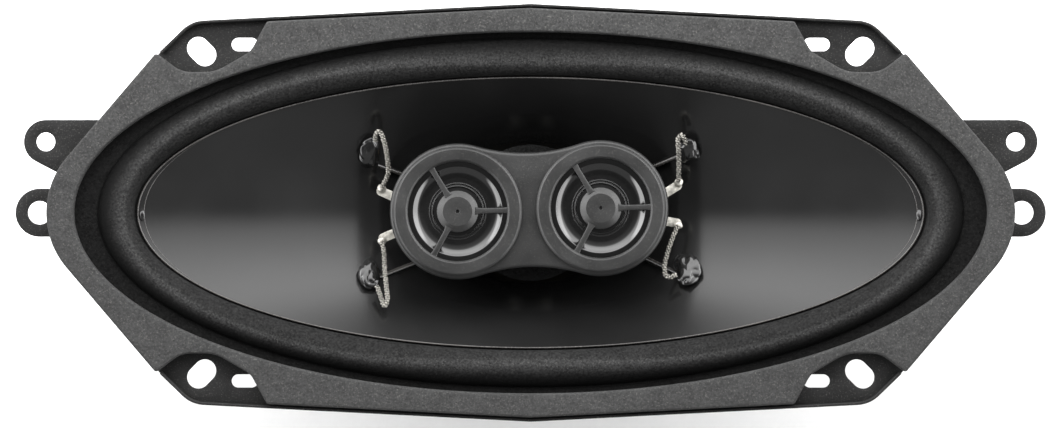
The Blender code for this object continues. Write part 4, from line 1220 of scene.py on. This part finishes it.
def inBridge(solid):
    points, faces = solid
    turn = math.radians(bridgeShape["turn"])
    c, s = math.cos(turn), math.sin(turn)
    x = points[:, 0] * c - points[:, 1] * s + bridgeShape["centre"][0]
    y = points[:, 0] * s + points[:, 1] * c + bridgeShape["centre"][1]
    return np.stack([x, y, points[:, 2]], -1), faces


# Arcs of the cups and of the waist's sides, which touch each other
def peanut(inset, count=420):
    b = bridgeShape
    sideRadius = (b["spread"] ** 2 + b["waist"] ** 2 - b["cup"] ** 2) / (2 * (b["cup"] - b["waist"]))
    rise = b["waist"] + sideRadius
    turn = math.atan2(rise, -b["spread"])
    lean = turn - math.pi / 2

    def arc(x, y, radius, start, end):
        angles = np.linspace(start, end, 60)
        return np.stack([x + radius * np.cos(angles), y + radius * np.sin(angles)], -1)

    quarter = math.pi / 2
    right = arc(b["spread"], 0, b["cup"] - inset, -turn, turn)
    top = arc(0, rise, sideRadius + inset, -quarter + lean, -quarter - lean)
    left = arc(-b["spread"], 0, b["cup"] - inset, math.pi - turn, math.pi + turn)
    bottom = arc(0, -rise, sideRadius + inset, quarter + lean, quarter - lean)
    return resample(np.concatenate([right, top[1:-1], left, bottom[1:-1]]), count)


def buildBridge():
    b = bridgeShape
    blank = discPlate(peanut(0), b["low"], b["high"], b["edge"], 0.3, (0, 0))
    hollow = discPlate(peanut(b["wall"]), b["low"] - 2, b["high"] - b["wall"], 0.6, 0.1, (0, 0))
    openings = [
        lathe([(0, 70), (14.6, 70), (14.6, 45), (0, 45)], 96, (side * b["spread"], 0), closed=False)
        for side in (-1, 1)
    ]
    mesh = carve("bridge_housing", inBridge(blank), [inBridge(hollow)] + [inBridge(o) for o in openings])
    finishPiece("bridge_housing", mesh, "moulded_plastic", "chassis", ["tweeter_bridge"], 40)
    base = discPlate(peanut(1.7), 50.2, 51.4, 0.3, middle=(0, 0))
    hole = lathe([(0, 60), (3.9, 60), (3.9, 45), (0, 45)], 48, (0.4, -0.75), closed=False)
    mesh = carve("bridge_floor", inBridge(base), [inBridge(hole)])
    finishPiece("bridge_floor", mesh, "moulded_plastic", "chassis", ["bridge_base"], 40)
    for label, side in (("upper", 1), ("lower", -1)):
        profile = roundCorners(
            [(0, 5.0, 0), (2.0, 5.0, 0.3), (2.6, 4.5, 0.4), (2.6, 3.9, 0.2), (2.45, 3.6, 0.2),
            (2.6, 3.3, 0.2), (2.6, -4.6, 0.4), (2.0, -5.0, 0.3), (0, -5.0, 0)], closed=False
        )
        points, faces = lathe(profile, 48, closed=False)
        lying = np.stack([points[:, 2], points[:, 1] + side * 9.4, 54.6 - points[:, 0]], -1)
        addPiece(
            f"capacitor_can_{label}", [inBridge((lying, faces))], "shrink_sleeve",
            stands=[f"capacitor_{label}"]
        )


# A bar of rounded section along X, from one radius to another, flaring into what it joins
def spokeBody(start, end, halfWidth, low, high, turn):
    share = np.linspace(0, 1, 24)
    along = start + (end - start) * share
    flare = 1 + 0.55 * (np.exp(-share * 14) + np.exp(-(1 - share) * 14))
    angle = np.linspace(0, fullTurn, 24, endpoint=False)
    power = 0.45
    across = np.sign(np.cos(angle)) * np.abs(np.cos(angle)) ** power
    upward = np.sign(np.sin(angle)) * np.abs(np.sin(angle)) ** power
    y = halfWidth * flare[:, None] * across
    z = (low + high) / 2 + (high - low) / 2 * upward[None] + 0 * y
    x = along[:, None] + 0 * y
    rings = np.stack([x, y, z], -1)
    caps = [np.repeat(rings[[n]].mean(1, keepdims=True), 24, 1) for n in (0, -1)]
    rings = np.concatenate([caps[0], rings, caps[1]])
    c, s = math.cos(turn), math.sin(turn)
    return np.stack(
        [rings[..., 0] * c - rings[..., 1] * s, rings[..., 0] * s + rings[..., 1] * c, rings[..., 2]],
        -1
    )


tweeterShape = {
    "ring": (12.75, 16.6), "ringLow": 62.3, "ringHigh": 64.0, "disc": 5.35, "discTop": 63.9,
    "pin": 0.45, "spoke": (4.6, 13.4), "spokeHalf": 0.7
}


# Steepness of the diaphragm's film at each radius
filmSlope = ((0, 8.5, 8.9, 9.6, 10.8, 11.4, 11.55, 12.9), (0, 0, 0.05, 0.09, 0.60, 0.70, 0, 0))


# What is inside a tweeter, each as the corners of its section: (radius, height, rounding)
tweeterParts = [
    {"piece": "winding", "node": "coil", "slot": "copper_winding", "moves": True, "closed": True,
     "corners": [(7.3, 59.8, 0.08), (7.7, 59.8, 0.08), (7.7, 55.6, 0.08), (7.3, 55.6, 0.08)]},
    {"piece": "cup", "node": "pot", "slot": "plated_steel", "moves": False, "closed": False,
     "corners": [
         (0, 53.2, 0), (8.6, 53.2, 0.2), (8.6, 59.9, 0.2), (12.2, 59.9, 0.3), (12.2, 51.7, 0.6),
         (0, 51.7, 0)]},
    {"piece": "slug", "node": "magnet", "slot": "nickel_plate", "moves": False, "closed": False,
     "corners": [(0, 57.0, 0), (6.2, 57.0, 0.3), (6.2, 53.5, 0.3), (0, 53.5, 0)]},
    {"piece": "pole", "node": "pole_plate", "slot": "plated_steel", "moves": False, "closed": False,
     "corners": [(0, 59.0, 0), (6.7, 59.0, 0.3), (6.7, 57.3, 0.2), (0, 57.3, 0)]},
]


def buildTweeter(label, side):
    t = tweeterShape
    centre = (side * bridgeShape["spread"], 0)
    inner, outer = t["ring"]
    corners = [
        (inner, t["ringHigh"] - 0.5, 0.3), (inner + 0.5, t["ringHigh"], 0.4),
        (outer - 0.6, t["ringHigh"], 0.5), (outer, t["ringHigh"] - 0.6, 0.4),
        (outer, t["ringLow"], 0.1), (inner, t["ringLow"], 0.1)
    ]
    bodies = [lathe(roundCorners(corners), 144, centre)]
    corners = [
        (0, 63.1, 0), (t["pin"], 63.1, 0), (t["pin"], t["discTop"], 0.1), (3.75, t["discTop"], 0.25),
        (5.35, 63.0, 0.25), (5.35, 62.6, 0.1), (0, 62.6, 0)
    ]
    bodies.append(lathe(roundCorners(corners, closed=False), 96, centre, closed=False))
    for n in range(3):
        rows = spokeBody(*t["spoke"], t["spokeHalf"], 62.65, 63.55, math.radians(120 * n))
        bodies.append(closedBody(rows + np.array([centre[0], 0, 0]), wrapRows=False))
    addPiece(
        f"tweeter_grille_{label}", [inBridge(b) for b in bodies], "moulded_plastic",
        stands=[f"tweeter_{label}_face"]
    )
    body = label + "_dome"
    thick = 0.3
    radius = np.concatenate(
        [np.linspace(0, 6.0, 14, endpoint=False), np.linspace(6.0, 7.6, 44, endpoint=False),
        np.linspace(7.6, 12.9, 70)]
    )
    outerBead = 0.14 * np.maximum(0, 1 - ((radius - 7.2) / 0.2) ** 2)
    bead = 0.22 * np.maximum(0, 1 - ((radius - 6.5) / 0.28) ** 2) + outerBead
    slope = np.interp(radius, *filmSlope)
    rise = np.concatenate([[0], np.cumsum((slope[1:] + slope[:-1]) / 2 * np.diff(radius))])
    top = np.stack([radius, 60.25 - 0.08 * np.clip(radius / 6.0, 0, 1) ** 2 + bead + rise], -1)
    under = (top - [0, thick])[::-1]
    bodies = [inBridge(lathe(np.concatenate([top, under]), 128, centre, closed=False))]
    middle = inBridge((np.array([[centre[0], 0, 0]]), None))[0][0]

    def weights(points):
        return (12.1 - np.hypot(points[:, 0] - middle[0], points[:, 1] - middle[1])) / (12.1 - 7.6)

    addPiece(
        f"tweeter_dome_{label}", bodies, "glossy_film", stands=[f"tweeter_{label}_diaphragm"], angle=60,
        between=("chassis", body), weights=weights
    )
    for part in tweeterParts:
        profile = roundCorners(part["corners"], closed=part["closed"])
        solid = inBridge(lathe(profile, 96, centre, closed=part["closed"]))
        addPiece(
            f"tweeter_{part['piece']}_{label}", [solid], part["slot"],
            body if part["moves"] else "chassis", [f"tweeter_{label}_{part['node']}"]
        )


buildBridge()
buildTweeter("left", -1)
buildTweeter("right", 1)

# Lugs, leads and glue, one set in each quarter
lugTips = {
    "upper_left": ((-39.3, 5.8), 156.0), "lower_left": ((-38.8, -6.8), 203.0),
    "upper_right": ((38.5, 7.3), 32.0), "lower_right": ((38.5, -2.8), -10.0)
}
gluePlaces = {
    "upper_left": (-42.1, 16.3, 1.05), "lower_left": (-42.1, -16.6, 1.12),
    "upper_right": (41.3, 16.8, 1.0), "lower_right": (41.0, -15.6, 1.2)
}
rodEnds = {
    "upper_left": ((-20.5, 5.5), (-40.0, 12.6)), "lower_left": ((-22.0, -10.0), (-39.5, -17.1)),
    "upper_right": ((21.0, 7.5), (39.5, 15.5)), "lower_right": ((22.0, -8.0), (38.5, -16.2))
}
leadRoutes = {
    "upper_left": [
        (-38.6, 6.3, 50.7), (-36.9, 10.1, 52.2), (-37.0, 14.0, 54.2), (-37.8, 18.4, 56.2),
        (-38.9, 20.9, 56.8), (-39.9, 20.2, 56.4), (-40.0, 18.4, 55.2)
    ],
    "lower_left": [
        (-38.5, -7.3, 50.7), (-37.9, -10.6, 52.0), (-37.7, -14.6, 54.0), (-37.2, -19.0, 56.0),
        (-36.9, -22.4, 57.2), (-37.7, -24.0, 57.4), (-38.6, -21.8, 56.4), (-39.6, -19.0, 55.2)
    ],
    "upper_right": [
        (38.3, 7.9, 50.7), (38.3, 11.0, 52.4), (38.2, 15.2, 54.6), (38.0, 18.7, 56.2),
        (38.8, 20.0, 56.6), (39.7, 18.8, 55.8), (39.9, 17.8, 55.0)
    ],
    "lower_right": [
        (38.2, -3.2, 50.7), (36.9, -6.0, 51.6), (35.6, -9.6, 52.6), (34.6, -13.4, 53.4),
        (34.8, -16.0, 53.6), (36.0, -16.6, 53.4), (37.6, -16.1, 53.2)
    ],
}
leadShape = {"radius": 0.64, "strands": 3, "pitch": 2.9, "wire": 0.5, "rear": (0.5, 3, 2.6)}
lugShape = {"back": 3.9, "half": 3.3, "radius": 1.2, "heights": (49.3, 49.7), "edge": 0.1}
solderShape = {"height": 50.0, "size": (1.15, 1.1, 0.8)}


beadStep = 0.62  # the strands swell and narrow together along the lead


# Strands wound round a path: each runs beside it at an angle that grows with the distance gone
def braidBodies(path, radius, strands, pitch):
    fine = resampleOpen(path, 0.16)
    along = unit(np.gradient(fine, axis=0))
    side = unit(np.cross(along, np.array([0.9, 0.1, 0.4])))
    up = np.cross(side, along)
    gone = np.concatenate([[0], np.cumsum(np.linalg.norm(np.diff(fine, axis=0), axis=1))])
    bodies = []
    for n in range(strands):
        angle = (gone / pitch + n / strands) * fullTurn
        offset = np.cos(angle)[:, None] * side + np.sin(angle)[:, None] * up
        thick = radius * (0.38 + 0.11 * np.sin(gone * fullTurn / beadStep))
        bodies.append(tube(fine + offset * radius * 0.62, thick, 9, (0.9, 0.1, 0.4)))
    return bodies


# High on the swellings of the strands and low between them, where the braid's finish paints shade
def braidPaintedShadeShare(path):
    fine = resampleOpen(path, 0.08)
    step = np.linalg.norm(fine[1] - fine[0])

    def share(points):
        nearest = np.concatenate(
            [np.argmin(((part[:, None] - fine[None]) ** 2).sum(-1), 1)
            for part in np.array_split(points, 20)]
        )
        return 0.5 + 0.5 * np.sin(nearest * step * fullTurn / beadStep)

    return share


def resampleOpen(path, spacing):
    length = np.concatenate([[0], np.cumsum(np.linalg.norm(np.diff(path, axis=0), axis=1))])
    at = np.linspace(0, length[-1], int(length[-1] / spacing) + 2)
    return np.stack([np.interp(at, length, path[:, n]) for n in range(3)], -1)


# How far along a path each point lies, from 0 to 1, by its nearest path point
def alongPath(path):
    fine = resampleOpen(path, 0.5)

    def weights(points):
        nearest = np.argmin(((points[:, None] - fine[None]) ** 2).sum(-1), 1)
        return nearest / (len(fine) - 1)

    return weights


# A drop of glue: a ball stretched along the cone, uneven, with a flat foot
def glueBody(x, y, size, seed):
    normal = coneNormal(np.array(x), np.array(y))
    side = unit(np.cross(normal, np.array([1.0, 0, 0])))
    across = np.cross(side, normal)
    ball = ballRows(64, 110)
    flat = ball.reshape(-1, 3)
    lumps = 0.17 * unevenness(flat, 1.8, seed) + 0.15 * np.abs(unevenness(flat, 1.0, seed + 9))
    lumps = lumps + 0.012 * unevenness(flat, 0.5, seed + 5)
    ball = ball * (0.97 + lumps.reshape(64, 110, 1))
    height = np.maximum(ball[..., 2:], -0.75)
    middle = np.array([x, y, float(coneHeight(np.array(x), np.array(y)))]) + normal * 2.0
    wide, long = ball[..., :1] * across * 2.7 * size, ball[..., 1:2] * side * 3.8 * size
    rows = middle + wide + long + height * normal * 1.6
    return closedBody(rows, wrapRows=False)


def buildWiring():
    for number, (name, ((x, y), turn)) in enumerate(lugTips.items()):
        angle = math.radians(turn)
        start = np.array([x, y]) - np.array([math.cos(angle), math.sin(angle)]) * lugShape["back"]
        outline = resample(slotOutline(*start, lugShape["half"], lugShape["radius"], turn)[::-1], 120)
        addPiece(
            f"solder_lug_{name}", plateBodies([outline], *lugShape["heights"], lugShape["edge"], None, 1.2),
            "tinned_brass", stands=[f"lug_{name}"], angle=30
        )
        first = np.array(leadRoutes[name][0])
        ball = ballRows(20, 32)
        ball = ball * (1 + 0.12 * unevenness(ball.reshape(-1, 3), 1.7, 20 + number).reshape(20, 32, 1))
        solder = np.array([first[0], first[1], solderShape["height"]]) + ball * solderShape["size"]
        addPiece(f"solder_drop_{name}", [closedBody(solder, wrapRows=False)], "tinned_brass", angle=60)
        path = smoothRoute(leadRoutes[name], 12)
        bodies = braidBodies(path, leadShape["radius"], leadShape["strands"], leadShape["pitch"])
        made = addPiece(
            f"tinsel_lead_{name}", bodies, "tinsel_braid", stands=[f"front_lead_{name}"], angle=70,
            between=("chassis", "cone"), weights=alongPath(path)
        )
        # The share that places the braid's painted shade
        paintShare(made, "across", braidPaintedShadeShare(path))
        gx, gy, size = gluePlaces[name]
        addPiece(
            f"glue_drop_{name}", [glueBody(gx, gy, size, 40 + number)], "black_glue", "cone",
            [f"glue_{name}"], 60
        )
        places = np.linspace(*rodEnds[name], 60)
        ground = coneNormal(places[:, 0], places[:, 1]) * (
            coneShape["thick"] / 2 + 0.15 + leadShape["wire"]
        )
        path = np.column_stack([places, coneHeight(places[:, 0], places[:, 1])]) + ground
        addPiece(
            f"coil_end_{name}", [tube(path, leadShape["wire"], 12)], "enamelled_wire", "cone",
            [f"coil_wire_{name}"], 60
        )
        sx, sy = math.copysign(1, gx), math.copysign(1, gy)
        depth = float(coneHeight(np.array(gx), np.array(gy)))
        route = [
            (gx, gy, depth - 1.9), (sx * 43.6, sy * 17.0, 45.2), (sx * 47.0, sy * 16.6, 43.4),
            (sx * 51.5, sy * 14.6, 42.4), (sx * 55.6, sy * 12.2, 42.0), (sx * 58.6, sy * 10.8, 41.8)
        ]
        path = smoothRoute(route, 12)
        forward = alongPath(path)

        def backward(points, forward=forward):
            return 1 - forward(points)

        made = addPiece(
            f"rear_tinsel_{name}", braidBodies(path, *leadShape["rear"]), "tinsel_braid",
            stands=[f"rear_lead_{name}"], angle=70, between=("chassis", "cone"), weights=backward
        )
        # The share that places the rear braid's painted shade
        paintShare(made, "across", braidPaintedShadeShare(path))


terminalShape = {
    "board": (11.0, 28.0, 1.6), "slot": (5.4, 1.4), "blade": (4.8, 0.8, 14.0), "reach": 3.2,
    "rowY": 10.5, "middleX": 62.0, "drop": 1.5
}


def roundedRectangle(wide, high, radius, steps=6):
    x, y = wide / 2, high / 2
    return roundCorners([(-x, -y, radius), (x, -y, radius), (x, y, radius), (-x, y, radius)], steps=steps)


# Terminal boards under the basket's rib, with a blade through each slot. Both lie along the rib's slope
def buildTerminals():
    t = terminalShape
    tilt = math.atan(16 / 54)
    for label, side in (("left", -1), ("right", 1)):
        middle = Vector(
            (side * (t["middleX"] + t["drop"] * math.sin(tilt)), 0, 34 + 18 * 16 / 54
            - t["drop"] * math.cos(tilt))
        )
        matrix = Matrix.Translation(middle) @ Matrix.Rotation(-side * tilt, 4, "Y")
        half = t["board"][2] / 2
        outline = resample(roundedRectangle(t["board"][0], t["board"][1], 1.2), 260)
        slots = [
            resample(roundedRectangle(*t["slot"], 0.3), 60)[::-1] + [0, sy * t["rowY"]]
            for sy in (-1, 1)
        ]
        board = plateBodies([outline] + slots, -half, half, 0.15, None, 2.5)
        addPiece(
            f"tag_board_{label}", placed(board, matrix), "phenolic_board",
            stands=[f"terminal_board_{label}"], angle=40
        )
        for level, sy in (("upper", 1), ("lower", -1)):
            wide, thick, long = t["blade"]
            x, z = wide / 2, long / 2
            outline = roundCorners(
                [(-x, -z + 1.6, 0.4), (-x + 1.0, -z, 0.4), (x - 1.0, -z, 0.4), (x, -z + 1.6, 0.4),
                (x, z, 0.5), (-x, z, 0.5)], steps=5
            )
            blade = plateBodies(
                [resample(outline, 200), circle(0, -z + 4.2, 0.8, 40)], -thick / 2, thick / 2, 0.12,
                None, 1.6
            )
            upright = Matrix.Translation(
                (0, sy * t["rowY"], -t["reach"])
            ) @ Matrix.Rotation(math.pi / 2, 4, "X")
            addPiece(
                f"blade_{level}_{label}", placed(blade, matrix @ upright), "tinned_brass",
                stands=[f"terminal_{level}_{label}"], angle=40
            )


buildWiring()
buildTerminals()

# Floor, world and lights. The sky stops give brightness by how far a direction leans to +Y, from -1 to 1
studio = {
    "floorSize": 8.0,
    "sidePower": 8.2,
    "sideSize": (1.2, 0.22),
    "sidePlace": (-0.01, 0.24, 0.26),
    "diffuseShare": 0.42,
    "skyPeak": 5.0,
    "sky": {
        -1.0: 0.45, -0.05: 0.42, 0.0: 0.55, 0.10: 1.5, 0.19: 2.3, 0.37: 2.9, 0.55: 3.6, 0.72: 4.3,
        0.83: 4.6, 0.91: 4.0, 0.965: 2.3, 0.99: 1.5, 1.0: 1.4
    },
    "ends": {0.0: 0.0, 0.60: 0.0, 0.72: 0.9, 1.0: 0.9},
    "ceiling": {0.0: 1.0, 0.86: 1.0, 0.93: 0.45, 1.0: 0.25},
    "backdrop": 0.9,
}


def buildStudio():
    half = studio["floorSize"] / 2
    mesh = bpy.data.meshes.new("studio_floor")
    corners = np.array([(-half, -half, 0), (half, -half, 0), (half, half, 0), (-half, half, 0)])
    mesh.from_pydata(corners - [0, 0, 0.0003], [], [(0, 1, 2, 3)])
    floor = bpy.data.objects.new("studio_floor", mesh)
    bpy.context.scene.collection.objects.link(floor)
    material = bpy.data.materials.new("studio_paper")
    material.use_nodes = True
    tree = material.node_tree
    shader = tree.nodes["Principled BSDF"]
    shader.inputs["Roughness"].default_value = 0.9
    shader.inputs["Specular IOR Level"].default_value = 0.1
    place = node(tree, "TexCoord").outputs["Object"]
    tone = node(tree, "Group", node_tree=toneGroup)
    fill(
        tree, tone, {"Vector": place, "Scale": 3.0, "Fine Scale": 900.0, "Speckle": 0.3,
        "Dark": (0.86, 0.86, 0.86, 1), "Light": (0.9, 0.9, 0.9, 1)}
    )
    tree.links.new(tone.outputs["Color"], shader.inputs["Base Color"])
    beneath = node(tree, "BsdfTransparent")
    facing = node(tree, "NewGeometry")
    mixed = node(
        tree, "MixShader", {0: facing.outputs["Backfacing"], 1: shader.outputs[0],
        2: beneath.outputs[0]}
    )
    tree.links.new(mixed.outputs[0], tree.nodes["Material Output"].inputs["Surface"])
    mesh.materials.append(material)


def addPanel(name, power, size, place, aim):
    data = bpy.data.lights.new(name, "AREA")
    data.energy = power
    data.shape = "RECTANGLE"
    data.size, data.size_y = size
    made = bpy.data.objects.new(name, data)
    made.location = place
    direction = np.array(aim) - np.array(place)
    made.rotation_euler = Vector(direction).to_track_quat("-Z", "Y").to_euler()
    bpy.context.scene.collection.objects.link(made)
    return made


def buildWorld():
    world = bpy.data.worlds.new("studioWorld")
    world.use_nodes = True
    tree = world.node_tree
    background = tree.nodes["Background"]
    place = node(tree, "TexCoord").outputs["Generated"]
    parts = node(tree, "SeparateXYZ", {0: place})
    lean = node(tree, "MapRange", {"Value": parts.outputs["Y"], "From Min": -1.0})
    side = addRamp(
        tree, lean.outputs[0], {(w + 1) / 2: b / studio["skyPeak"] for w, b in studio["sky"].items()}
    )
    above = addRamp(tree, parts.outputs["Z"], studio["ceiling"])
    outwards = node(tree, "Math", {0: parts.outputs["X"]}, operation="ABSOLUTE")
    ends = addRamp(tree, outwards.outputs[0], studio["ends"])
    around = node(tree, "Mix", {0: 1.0, 6: side, 7: ends}, data_type="RGBA", blend_type="ADD")
    sky = node(
        tree, "Mix", {0: 1.0, 6: around.outputs[2], 7: above}, data_type="RGBA", blend_type="MULTIPLY"
    )
    path = node(tree, "LightPath")
    seen = node(
        tree, "MapRange", {
            "Value": path.outputs["Is Camera Ray"], "To Min": studio["skyPeak"],
            "To Max": studio["backdrop"]
        }
    )
    flat = node(
        tree, "Mix", {0: path.outputs["Is Camera Ray"], 6: sky.outputs[2], 7: (1, 1, 1, 1)},
        data_type="RGBA"
    )
    tree.links.new(flat.outputs[2], background.inputs["Color"])
    matt = node(
        tree, "MapRange", {"Value": path.outputs["Is Diffuse Ray"], "To Min": 1.0,
        "To Max": studio["diffuseShare"]}
    )
    strength = node(tree, "Math", {0: seen.outputs[0], 1: matt.outputs[0]}, operation="MULTIPLY")
    tree.links.new(strength.outputs[0], background.inputs["Strength"])
    bpy.context.scene.world = world


buildStudio()
buildWorld()
sideLight = addPanel(
    "sidePanel", studio["sidePower"], studio["sideSize"], studio["sidePlace"], (0, 0, 0.06)
)
sideLight.visible_glossy = False
sideLight.visible_camera = False
print("studio ready")
